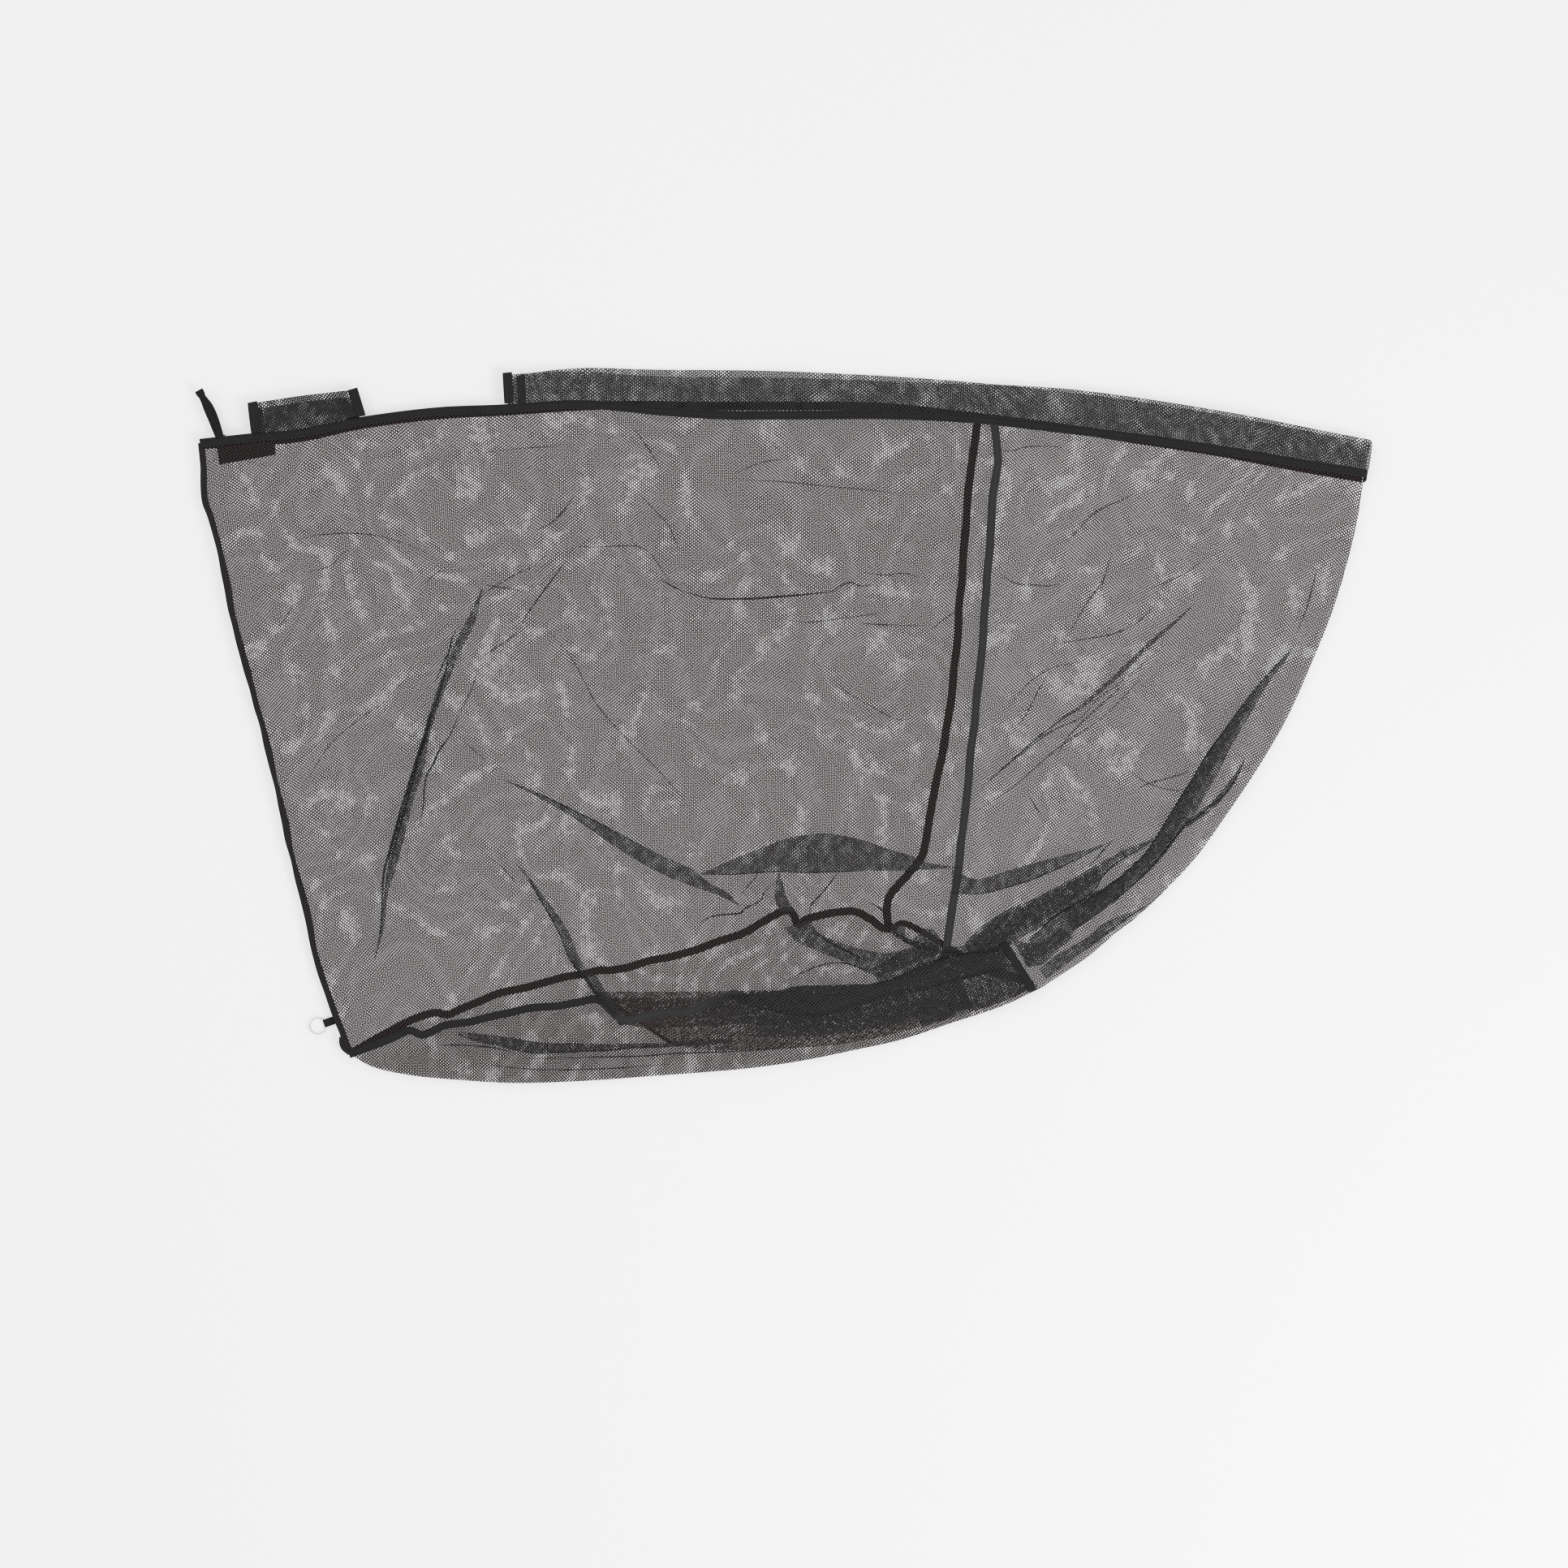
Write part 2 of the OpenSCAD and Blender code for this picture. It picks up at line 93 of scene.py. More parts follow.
def curve(points, count):
    """A smooth line through points (x, y, x, y ...), as count points evenly spaced along it."""
    p = pairs(points)
    p = np.vstack([2 * p[0] - p[1], p, 2 * p[-1] - p[-2]])
    t = np.linspace(0, 1, SPAN_STEPS, endpoint=False)[:, None]
    spans = [0.5 * (2 * b + (c - a) * t + (2 * a - 5 * b + 4 * c - d) * t ** 2
                    + (3 * b - a - 3 * c + d) * t ** 3)
             for a, b, c, d in zip(p[:-3], p[1:-2], p[2:-1], p[3:])]
    return resample(np.vstack(spans + [p[-2:-1]]), count)


def lengths(line):
    return np.concatenate([[0], np.cumsum(np.linalg.norm(np.diff(line, axis=0), axis=1))])


def resample(line, count):
    """count points along a line: evenly spaced, or at the given shares of its length."""
    along = lengths(line)
    at = np.linspace(0, 1, count) if np.isscalar(count) else np.asarray(count)
    return np.stack([np.interp(at * along[-1], along, line[:, k])
                     for k in range(line.shape[1])], axis=1)


def normals(line):
    way = np.gradient(line, axis=0)[:, :2]
    way /= np.linalg.norm(way, axis=1, keepdims=True) + TINY
    return np.stack([-way[:, 1], way[:, 0]], axis=1)


def waves(seed, wavelength, heading=None):
    """A smooth random surface of about unit height, as a function of x and y in mm.
    With a heading in degrees, its wrinkles run roughly that way."""
    rng = np.random.default_rng(seed)
    turn = rng.uniform(0, 2 * np.pi, WAVE_COUNT)
    if heading is not None:
        turn = math.radians(heading + 90) + rng.normal(0, WAVE_SPREAD, WAVE_COUNT)
    size = 2 * np.pi / (wavelength * rng.uniform(0.6, 1.8, WAVE_COUNT))
    shift = rng.uniform(0, 2 * np.pi, WAVE_COUNT)
    gain = np.sqrt(2.0 / WAVE_COUNT)

    def height(x, y):
        total = np.zeros(np.shape(x))
        for a, k, s in zip(turn, size, shift):
            total += np.sin(k * (np.cos(a) * x + np.sin(a) * y) + s)
        return gain * total

    return height


def coons(top, right, bottom, left, across, down):
    """A patch between four edges. top and bottom run left to right, the others top to bottom."""
    t, b = resample(top, across), resample(bottom, across)
    l, r = resample(left, down), resample(right, down)
    U, V = across[None, :, None], down[:, None, None]
    ruled = (1 - V) * t[None] + V * b[None] + (1 - U) * l[:, None] + U * r[:, None]
    corners = ((1 - U) * (1 - V) * t[0] + U * (1 - V) * t[-1]
               + (1 - U) * V * b[0] + U * V * b[-1])
    return ruled - corners


def put_in_scene(made):
    bpy.context.scene.collection.objects.link(made)
    return made


def mesh_piece(name, grids, material, extra=()):
    """One mesh object from grids: each is a (rows, cols, 3) array of places in mm and its
    (rows, cols, 2) array of places on the cloth. Each extra is (more grids, their material)."""
    groups = [(grids, material), *extra]
    verts, faces, cloth, slots, start = [], [], [], [], 0
    for slot, (members, _) in enumerate(groups):
        for place, uv in members:
            rows, cols = place.shape[:2]
            verts.append(place.reshape(-1, 3))
            cloth.append(uv.reshape(-1, 2))
            k = start + np.arange(rows * cols).reshape(rows, cols)
            faces.append(np.stack([k[:-1, :-1], k[:-1, 1:], k[1:, 1:], k[1:, :-1]], axis=-1)
                         .reshape(-1, 4))
            slots.append(np.full(len(faces[-1]), slot, np.int32))
            start += rows * cols
    verts, cloth, faces = np.vstack(verts) * MM, np.vstack(cloth) * MM, np.vstack(faces)
    data = bpy.data.meshes.new(name)
    data.from_pydata(verts.tolist(), [], faces.tolist())
    layer = data.uv_layers.new(name="cloth")
    index = np.empty(len(data.loops), np.int32)
    data.loops.foreach_get("vertex_index", index)
    layer.data.foreach_set("uv", cloth[index].astype(np.float32).ravel())
    data.polygons.foreach_set("use_smooth", np.full(len(data.polygons), True))
    for _, looks in groups:
        data.materials.append(looks)
    data.polygons.foreach_set("material_index", np.concatenate(slots))
    made = put_in_scene(bpy.data.objects.new(name, data))
    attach(made, BODY)
    return made


# ---- Heights of the two layers of cloth ----
low_swell, low_ripple = waves(11, 190), waves(12, 60)
high_swell, high_ripple, high_fine = waves(21, 260), waves(22, 95), waves(23, 38)
CALM_AT = (-626.0, 320.0)      # the corner with the pull loop, where the cloth lies flat


def lower_z(x, y):
    return LOWER_Z + 0.32 * low_swell(x, y) + 0.2 * low_ripple(x, y)


def upper_z(x, y):
    calm = np.clip((np.hypot(x - CALM_AT[0], y - CALM_AT[1]) - 25) / 90, 0, 1)
    rise = 1.1 * high_swell(x, y) + 0.6 * high_ripple(x, y) + 0.2 * high_fine(x, y)
    return UPPER_Z + calm * rise


# ---- Cloth coordinates: the grain runs along the rim, whose curve is a wide arc ----
ARC_R = 4170.0
ARC_CENTRE = (-60.0, 355.0 - ARC_R)


def cloth(x, y, seed, stretch=1.0, turn=0.0, heading=55.0):
    """Where a point of the folded net is on its flat cloth, in mm along and across the grain."""
    dx, dy = x - ARC_CENTRE[0], y - ARC_CENTRE[1]
    u = ARC_R * np.arctan2(dx, dy)
    v = np.hypot(dx, dy) - ARC_R
    c, s = math.cos(math.radians(turn)), math.sin(math.radians(turn))
    u, v = c * u - s * v, s * u + c * v
    pulls = [[gain * waves(seed + 10 * axis + k, size, heading=way)(x, y)
              for k, (gain, size, way) in enumerate(((1.0, 240, None), (0.5, 110, heading),
                                                     (0.22, 55, heading)))]
             for axis in (0, 1)]
    return np.stack([stretch * u + sum(pulls[0]), stretch * v + sum(pulls[1])], axis=-1)


# ---- Materials ----
class Nodes:
    """Short names for building a material's nodes."""

    def __init__(self, name):
        self.material = bpy.data.materials.new(name)
        self.material.use_nodes = True
        self.tree = self.material.node_tree
        self.tree.nodes.clear()
        out = self.tree.nodes.new("ShaderNodeOutputMaterial")
        self.shader = self.tree.nodes.new("ShaderNodeBsdfPrincipled")
        self.put(out.inputs["Surface"], self.shader.outputs[0])

    def put(self, socket, value):
        if isinstance(value, bpy.types.NodeSocket):
            self.tree.links.new(value, socket)
        else:
            socket.default_value = value

    def add(self, kind, inputs, output=0, **settings):
        """A new node with its settings and inputs, each a value or a socket: one output."""
        node = self.tree.nodes.new("ShaderNode" + kind)
        for key, value in settings.items():
            setattr(node, key, value)
        for key, value in inputs.items():
            self.put(node.inputs[key], value)
        return node.outputs[output]

    def math(self, operation, *values, clamp=False):
        values = (*values, 0.0, 0.0)[:3]
        return self.add("Math", dict(enumerate(values)), operation=operation, use_clamp=clamp)

    def uv(self):
        """The cloth coordinates in metres, whole and as u and v."""
        whole = self.add("UVMap", {}, uv_map="cloth")
        split = self.tree.nodes.new("ShaderNodeSeparateXYZ")
        self.put(split.inputs[0], whole)
        return whole, split.outputs[0], split.outputs[1]

    def position(self):
        return self.add("TexCoord", {}, "Object")

    def noise(self, vector, scale, detail=3.0, roughness=0.5):
        return self.add("TexNoise", {"Vector": vector, "Scale": scale, "Detail": detail,
                                     "Roughness": roughness}, "Fac")

    def ramp(self, value, low, high, a, b):
        return self.add("MapRange", {"Value": value, "From Min": low, "From Max": high,
                                     "To Min": a, "To Max": b}, interpolation_type="SMOOTHSTEP")

    def colour(self, tone, dark, light):
        """The shader's colour, from dark to light with the tone."""
        self.set({"Base Color": self.add("Mix", {0: tone, 6: dark, 7: light}, 2,
                                         data_type="RGBA")})

    def bump(self, height, strength, distance):
        self.set({"Normal": self.add("Bump", {"Strength": strength, "Distance": distance,
                                              "Height": height})})

    def set(self, values):
        """The shader's own sockets: each gets a constant or another node's output."""
        for key, value in values.items():
            self.put(self.shader.inputs[key], value)

    def dull(self, roughness, gloss, sheen=0.0, sheen_roughness=0.5):
        self.set({"Roughness": roughness, "Specular IOR Level": gloss, "Sheen Weight": sheen,
                  "Sheen Roughness": sheen_roughness})


CELL = (4.5, 3.4)      # mesh pitch in mm: centred cell, along and across the grain
YARN = 0.688           # yarn width in mm
SWAY = 0.0014          # how far the knit wanders from a true lattice, in m
HALF_DIAGONAL = 0.5 * math.hypot(CELL[0] / 2, CELL[1] / 2)
SOFT_EDGE = 0.05       # mm on each side over which the yarn's edge fades
WEAVE = 0.7            # pitch of a tape's weave in mm
STITCH_LINE = 0.0024   # how far a tape's sunk stitch lines are from its middle, in m


# The default colours are near-black yarn with a warm tint. The tint is painted light: the glow of
# light coming through the yarn. LAYERED below is the copy without it.
def mesh_material(name, yarn=YARN, dark=(0.0270, 0.0163, 0.0163), light=(0.082, 0.0505, 0.0505)):
    """Knitted mesh: hexagonal holes in a centred lattice, cut out by alpha."""
    n = Nodes(name)
    vector, u, v = n.uv()
    u = n.math("MULTIPLY_ADD", n.math("SUBTRACT", n.noise(vector, 110.0, 1.0), 0.5), SWAY, u)
    v = n.math("MULTIPLY_ADD", n.math("SUBTRACT", n.noise(vector, 140.0, 1.0), 0.5), SWAY, v)
    angle = math.atan2(CELL[1], CELL[0])
    holes = []
    for shift in (0.0, 0.5):
        parts = []
        for value, pitch in ((u, CELL[0]), (v, CELL[1])):
            cells = n.math("MULTIPLY_ADD", value, 1000.0 / pitch, shift)
            inside = n.math("SUBTRACT", n.math("FRACT", cells), 0.5)
            parts.append(n.math("MULTIPLY", n.math("ABSOLUTE", inside), pitch))
        dx, dy = parts
        slant = n.math("ADD", n.math("MULTIPLY", dx, math.cos(angle)),
                       n.math("MULTIPLY", dy, math.sin(angle)))
        slant = n.math("SUBTRACT", slant, HALF_DIAGONAL)
        flat = n.math("SUBTRACT", dy, CELL[1] / 2)
        holes.append(n.math("SMOOTH_MAX", slant, flat, 0.5))
    depth = n.math("MINIMUM", *holes)      # below -yarn/2 inside a hole
    rough = n.math("MULTIPLY", n.math("SUBTRACT", n.noise(vector, 900.0, 2.0), 0.5), 0.08)
    edge = n.math("ADD", depth, rough)
    n.set({"Alpha": n.ramp(edge, -yarn / 2 - SOFT_EDGE, -yarn / 2 + SOFT_EDGE, 0.0, 1.0)})
    # crown rises from the yarn's edges to its middle. The colour uses it to paint the yarn lighter
    # on its crown and darker at its edges: painted highlight and shade.
    crown = n.ramp(depth, -yarn / 2, 0.0, 0.0, 1.0)
    fibre = n.noise(vector, 2600.0, 2.0)
    # Broad patches of lighter and darker yarn: painted light and shade, uneven across the net.
    patchy_light = n.noise(vector, 9.0, 4.0)
    tone = n.math("MULTIPLY", crown, n.math("MULTIPLY_ADD", fibre, 0.5, 0.2))
    tone = n.math("MULTIPLY_ADD", patchy_light, 0.25, tone, clamp=True)
    n.colour(tone, (*dark, 1), (*light, 1))
    n.dull(0.62, 0.35, 0.15, 0.4)
    n.bump(n.math("ADD", crown, n.math("MULTIPLY", fibre, 0.4)), 0.5, 0.0003)
    return n.material


def grey(value):
    return (value, value, value * 1.04, 1)


def tape_material(name, dark, light, rib=1.05, gloss=0.12, sheen=0.08):
    """Woven binding tape: ribs across it, a woven grain, and sunk lines where it is stitched."""
    n = Nodes(name)
    vector, u, v = n.uv()
    ribs = n.math("SINE", n.math("MULTIPLY", u, 2 * math.pi * 1000.0 / rib))
    weave = n.math("SINE", n.math("MULTIPLY", v, 2 * math.pi * 1000.0 / WEAVE))
    grain = n.noise(vector, 1500.0, 3.0)
    body = n.math("MULTIPLY_ADD", ribs, 0.22, 0.5)
    body = n.math("MULTIPLY_ADD", weave, 0.10, body)
    body = n.math("MULTIPLY_ADD", grain, 0.35, body)
    across = n.math("ABSOLUTE", v)
    # The sunk stitch lines are also painted darker: painted shade in the recess.
    sunk = n.ramp(n.math("ABSOLUTE", n.math("SUBTRACT", across, STITCH_LINE)), 0.0, 0.0006, 1.0,
                  0.0)
    body = n.math("SUBTRACT", body, n.math("MULTIPLY", sunk, 0.5))
    lint = n.noise(vector, 35.0, 5.0)
    tone = n.math("MULTIPLY_ADD", lint, 0.35, n.math("MULTIPLY", body, 0.6), clamp=True)
    n.colour(tone, grey(dark), grey(light))
    n.dull(0.7, gloss, sheen)
    n.bump(body, 0.7, 0.0004)
    return n.material


def patch_material(name):
    n = Nodes(name)
    vector = n.position()
    pile = n.noise(vector, 1400.0, 4.0, 0.7)
    rows = n.noise(vector, 220.0, 2.0)
    tone = n.math("MULTIPLY_ADD", rows, 0.4, n.math("MULTIPLY", pile, 0.5), clamp=True)
    n.colour(tone, grey(0.004), grey(0.018))
    n.dull(0.9, 0.06, 0.05)
    n.bump(pile, 0.9, 0.0008)
    return n.material


def thread_material(name):
    n = Nodes(name)
    twist = n.noise(n.position(), 3000.0, 2.0)
    n.colour(twist, grey(0.015), grey(0.06))
    n.dull(0.55, 0.2)
    n.bump(twist, 0.5, 0.0002)
    return n.material


def clear_material(name):
    n = Nodes(name)
    haze = n.noise(n.position(), 160.0, 3.0)
    n.set({"Base Color": (0.84, 0.86, 0.87, 1), "Transmission Weight": 0.92, "IOR": 1.46,
           "Roughness": n.ramp(haze, 0.3, 0.7, 0.06, 0.16)})
    return n.material


MESH = mesh_material("knitted_mesh")
LAYERED = (0.0185, 0.0170, 0.0175), (0.057, 0.052, 0.053)     # yarn with no light behind it
SLEEVE_MESH = mesh_material("sleeve_mesh", 0.66, *LAYERED)
REAR_MESH = mesh_material("rear_mesh", 0.655)
PLEATED_MESH = mesh_material("pleated_mesh", 0.72, *LAYERED)
FLOOR_MESH = mesh_material("floor_mesh", 0.84)
CLOSE_MESH = mesh_material("close_mesh", 0.92, *LAYERED)
DENSE_MESH = mesh_material("dense_mesh", 0.98, *LAYERED)
# Thicker, darker yarn for the standing creases: the creases are real, their darkness is painted
# shade.
CREASE_SHADED_MESH = mesh_material("creased_mesh_painted_shade", 1.35, (0.009, 0.008, 0.008), (0.028, 0.026, 0.026))
# Thicker, darker yarn for the rolled sleeve: its darkness is painted shade inside the roll.
ROLLED_SHADED_MESH = mesh_material("rolled_mesh_painted_shade", 1.05, (0.013, 0.013, 0.014), (0.050, 0.050, 0.052))
TAPE = tape_material("binding_tape", 0.006, 0.036)
# A lighter copy of the binding tape: painted light where the tape lies lit on top.
LIT_SIDE_TAPE = tape_material("side_tape", 0.013, 0.055, gloss=0.2, sheen=0.15)
# A darker copy of the binding tape: painted shade for tapes lying under the mesh and in shade.
SHADED_TAPE = tape_material("shaded_tape", 0.004, 0.016, gloss=0.08, sheen=0.03)
EDGE_TAPE = tape_material("mouth_tape", 0.008, 0.032, 0.9)
LOOP_TAPE = tape_material("pull_loop_tape", 0.005, 0.024, 1.3)
PATCH = patch_material("hook_and_loop")
THREAD = thread_material("sewing_thread")
CLEAR = clear_material("clear_plastic")

# ---- Mesh panels ----
GRID = 4.0          # mm between the points of a panel's grid
rim_upper, rim_lower = curve(RIM_UPPER, 800), curve(RIM_LOWER, 800)
mouth = curve(MOUTH, 400)
from_end = np.minimum(np.arange(len(mouth)), np.arange(len(mouth))[::-1])
mouth[:, 0] += 3.2 * np.clip(from_end / 16, 0, 1)      # its edge is a little further in
side_upper, side_lower = curve(SIDE_UPPER, 300), curve(SIDE_LOWER, 300)
bottom_upper, bottom_lower = curve(BOTTOM_UPPER, 400), curve(BOTTOM_LOWER, 400)
rear_upper, rear_lower = curve(REAR_UPPER, 60), curve(REAR_LOWER, 100)
fold, keel = curve(FOLD, 400), curve(KEEL, 500)
SIDE_LENGTH, SIDE_DEPTH, REAR_WIDTH, REAR_DEPTH = 870, 690, 420, 620     # mm, for the grids
FLOOR_LENGTH, FLOOR_WIDTH = 800, 95


def split_at(line, x):
    """The parts of a line to the left and to the right of x."""
    k = int(np.argmin(np.abs(line[:, 0] - x)))
    return line[:k + 1], line[k:]


def even(length):
    return np.linspace(0, 1, max(3, int(round(length / GRID)) + 1))


def toward_end(length, edge=14.0, fine=9):
    """Shares of a length, evenly spaced and then close together over the last edge mm."""
    main = even(length - edge) * (1 - edge / length)
    last = 1 - edge / length * (1 - np.linspace(0, 1, fine + 1)[1:]) ** 1.6
    return np.concatenate([main, last])


def lift(flat, height):
    return np.dstack([flat, height(flat[..., 0], flat[..., 1])])


def tube(foot, top, stations, height, plump, seed, across=14):
    """A flattened tube between its sewn edge and its folded edge, as one grid.
    plump is half the height of the tube in mm."""
    f, t = resample(foot, stations), resample(top, stations)
    share = np.concatenate([np.linspace(0, 0.96, across), [0.985, 1.0, 0.985],
                            np.linspace(0.96, 0, across)])
    face = np.concatenate([np.ones(across + 1), [0.0], -np.ones(across + 1)])
    S = share[None, :]
    x = f[:, :1] * (1 - S) + t[:, :1] * S
    y = f[:, 1:] * (1 - S) + t[:, 1:] * S
    shape = np.sin(np.pi * np.clip(S, 0, 1) ** 0.8) ** 0.5
    z = height(x, y) + face[None, :] * (0.35 + plump * shape * np.ones_like(x))
    place = np.stack([x, y, z], axis=-1)
    steps = np.linalg.norm(np.diff(place, axis=1), axis=2)
    around = np.concatenate([np.zeros((len(f), 1)), np.cumsum(steps, axis=1)], axis=1)
    along = lengths(f)[:, None] * np.ones_like(around)
    wu, wv = waves(seed, 120), waves(seed + 1, 120)
    uv = np.stack([along + 1.2 * wu(along, around), around + 1.2 * wv(along, around)], axis=-1)
    return place, uv


def side_panel(rim, side, bottom, height, seed, **how):
    left_rim, _ = split_at(rim, side[0, 0])
    flat = coons(left_rim, side, bottom, mouth, even(SIDE_LENGTH), even(SIDE_DEPTH))
    return lift(flat, height), cloth(flat[..., 0], flat[..., 1], seed, **how)


def turned(flat_high, flat_low, seed, how_high, how_low):
    """One sheet from a high leaf over a fold at its last column to a low leaf."""
    sheets = []
    for flat, height, how in ((flat_high, upper_z, how_high), (flat_low, lower_z, how_low)):
        seed += 10
        x, y = flat[..., 0], flat[..., 1]
        ends = flat[:, -1:]
        gap = np.hypot(x - ends[..., 0], y - ends[..., 1])
        middle = 0.5 * (upper_z(x, y) + lower_z(x, y))
        rise = height(x, y) - middle
        r = np.abs(rise) + 0.6
        t = np.clip(gap / r, 0, 1)
        z = middle + rise * np.sqrt(np.clip(1 - (1 - t) ** 2, 0, 1))
        sheets.append((np.dstack([flat, z]), cloth(x, y, seed, **how)))
    return sheets


UP = dict(stretch=1.0, turn=0.0)
DOWN = dict(stretch=1.018, turn=1.5, heading=118.0)


def above(height, d):
    return lambda x, y: height(x, y) + d


def pleat(seed, edge_a, edge_b, lift_by=1.2, puff=0.6, turn=4.0):
    """A fold that lies on the cloth: two more layers between its two edges."""
    a, b = curve(edge_a, 160), curve(edge_b, 160)
    place, _ = tube(a, b, even(max(lengths(a)[-1], lengths(b)[-1])), above(upper_z, lift_by),
                    puff, seed, across=9)
    x, y = place[..., 0], place[..., 1]
    half = place.shape[1] // 2
    uv = np.concatenate([cloth(x[:, :half], y[:, :half], seed, turn=turn),
                         cloth(x[:, half:], y[:, half:], seed + 7, turn=-turn, stretch=1.04)],
                        axis=1)
    return place, uv


def ridge(seed, width, tall, *line, base=upper_z, lift_by=0.8):
    """A narrow standing crease along a line, tapering to nothing at both ends."""
    mid = curve(line, 120)
    taper = np.sin(np.pi * np.linspace(0, 1, 120))[:, None] ** 0.6
    side = normals(mid) * width / 2 * taper
    return tube(mid - side, mid + side, even(lengths(mid)[-1]), above(base, lift_by), tall, seed,
                across=5)


SIDE_PLEATS = [
    pleat(401, [-95, -163, -58, -146, -30, -135, -1, -124, 22, -119, 45, -118, 68, -121, 91, -127,
           114, -135, 137, -142, 158, -150, 183, -154, 200, -156],
          [-95, -163, -58, -163, -12, -160, 22, -161, 59, -160, 91, -159, 121, -159, 149, -158,
           183, -156, 200, -156], lift_by=1.6, puff=0.9),
    pleat(411, [-313, -58, -277, -72, -241, -89, -205, -107, -169, -126, -140, -141, -115, -152,
           -102, -158, -86, -171, -65, -183, -51, -198],
          [-313, -58, -277, -76, -241, -97, -205, -121, -169, -145, -140, -161, -115, -172,
           -92, -180, -74, -186, -58, -194, -51, -198], puff=0.8),
    pleat(421, [-336, 153, -346, 131, -356, 112, -367, 90, -375, 68, -383, 49, -392, 24, -401, -8,
           -410, -39, -419, -68, -428, -99, -436, -131, -442, -165, -446, -197, -448, -225,
           -455, -257],
          [-335, 153, -343, 117, -356, 90, -366, 68, -376, 43, -386, 18, -395, -14, -400, -46,
           -410, -74, -417, -102, -424, -131, -432, -159, -440, -184, -443, -210, -446, -229,
           -454, -257], turn=7.0),
    pleat(441, [-241, -256, -232, -266, -220, -280, -210, -295, -199, -307, -187, -320],
          [-228, -256, -220, -268, -210, -276, -201, -289, -193, -301, -183, -316]),
    pleat(445, [-300, -150, -290, -162, -270, -195, -252, -225, -241, -256],
          [-300, -150, -288, -161, -264, -192, -243, -222, -228, -256]),
    pleat(451, [-8, -160, -12, -178, -11, -194, -6, -204],
          [-6, -160, -2, -178, 3, -192, 11, -204]),
    pleat(461, [27, -213, 36, -227, 59, -238, 82, -245, 110, -250, 133, -245],
          [-1, -222, 13, -238, 41, -250, 68, -261, 91, -272, 105, -279], turn=12.0),
    pleat(463, [103, -264, 125, -249, 153, -239, 171, -236],
          [100, -284, 130, -276, 148, -268, 173, -258], turn=14.0),
    pleat(465, [110, -258, 128, -251, 150, -242, 171, -240],
          [104, -275, 130, -266, 150, -257, 173, -250], lift_by=2.2, turn=22.0),
    pleat(467, [140, -236, 152, -224, 160, -222, 170, -232],
          [143, -241, 152, -246, 160, -245, 171, -241], lift_by=2.0, turn=30.0),
    pleat(469, [116, -220, 124, -218, 131, -220],
          [118, -231, 126, -234, 133, -231], lift_by=1.4, turn=20.0),
    ridge(472, 1.4, 1.0, -271, 116, -237, 76, -209, 25, -175, -14, -135, -54, -107, -88),
    ridge(474, 1.4, 1.0, -161, 257, -148, 243, -135, 229),
    ridge(476, 1.3, 1.0, -51, 274, 0, 271, 46, 266, 91, 262, 136, 257),
    ridge(478, 1.3, 1.0, -11, 121, 23, 116, 68, 121, 113, 127),
    ridge(490, 1.3, 1.0, -339, 303, -294, 308, -249, 311),
    ridge(492, 1.3, 1.0, 51, 48, 91, 25, 125, 8, 147, 14),
    ridge(494, 1.3, 1.0, -560, 200, -520, 212, -470, 214, -430, 206, -392, 190),
    ridge(496, 1.5, 1.0, -352, 128, -330, 150, -300, 168, -272, 180),
    ridge(498, 1.3, 1.0, -530, -60, -505, -20, -470, 10, -440, 30),
    ridge(701, 2.4, 1.2, -275, 218, -262, 224, -250, 234, -243, 243, -234, 256),
    ridge(702, 1.6, 1.0, -400, 157, -392, 166, -385, 171, -374, 173),
    ridge(703, 1.5, 1.0, -334, 158, -320, 155, -305, 153, -290, 149),
    ridge(704, 1.5, 1.0, -528, 171, -510, 176, -500, 181, -493, 190, -484, 197),
    ridge(705, 1.5, 1.0, -562, 108, -553, 121, -546, 133),
    ridge(706, 1.4, 1.0, -341, 63, -346, 45, -355, 27, -362, 13),
    ridge(707, 1.8, 1.0, -294, 109, -305, 98, -320, 88, -336, 78),
    ridge(708, 1.3, 1.0, -242, 190, -233, 199, -212, 199, -190, 200, -165, 200, -150, 192,
          -141, 180, -132, 166, -122, 155),
    ridge(709, 1.4, 1.0, -55, 281, -40, 288, -22, 294, 2, 297),
    ridge(710, 1.4, 1.0, 85, 171, 110, 168, 130, 170, 148, 165),
    ridge(711, 1.6, 1.0, 80, 115, 110, 113, 150, 112),
    ridge(712, 1.4, 1.0, 160, 107, 176, 120, 192, 130),
    ridge(713, 1.4, 1.0, -354, -18, -342, -28, -332, -37),
]
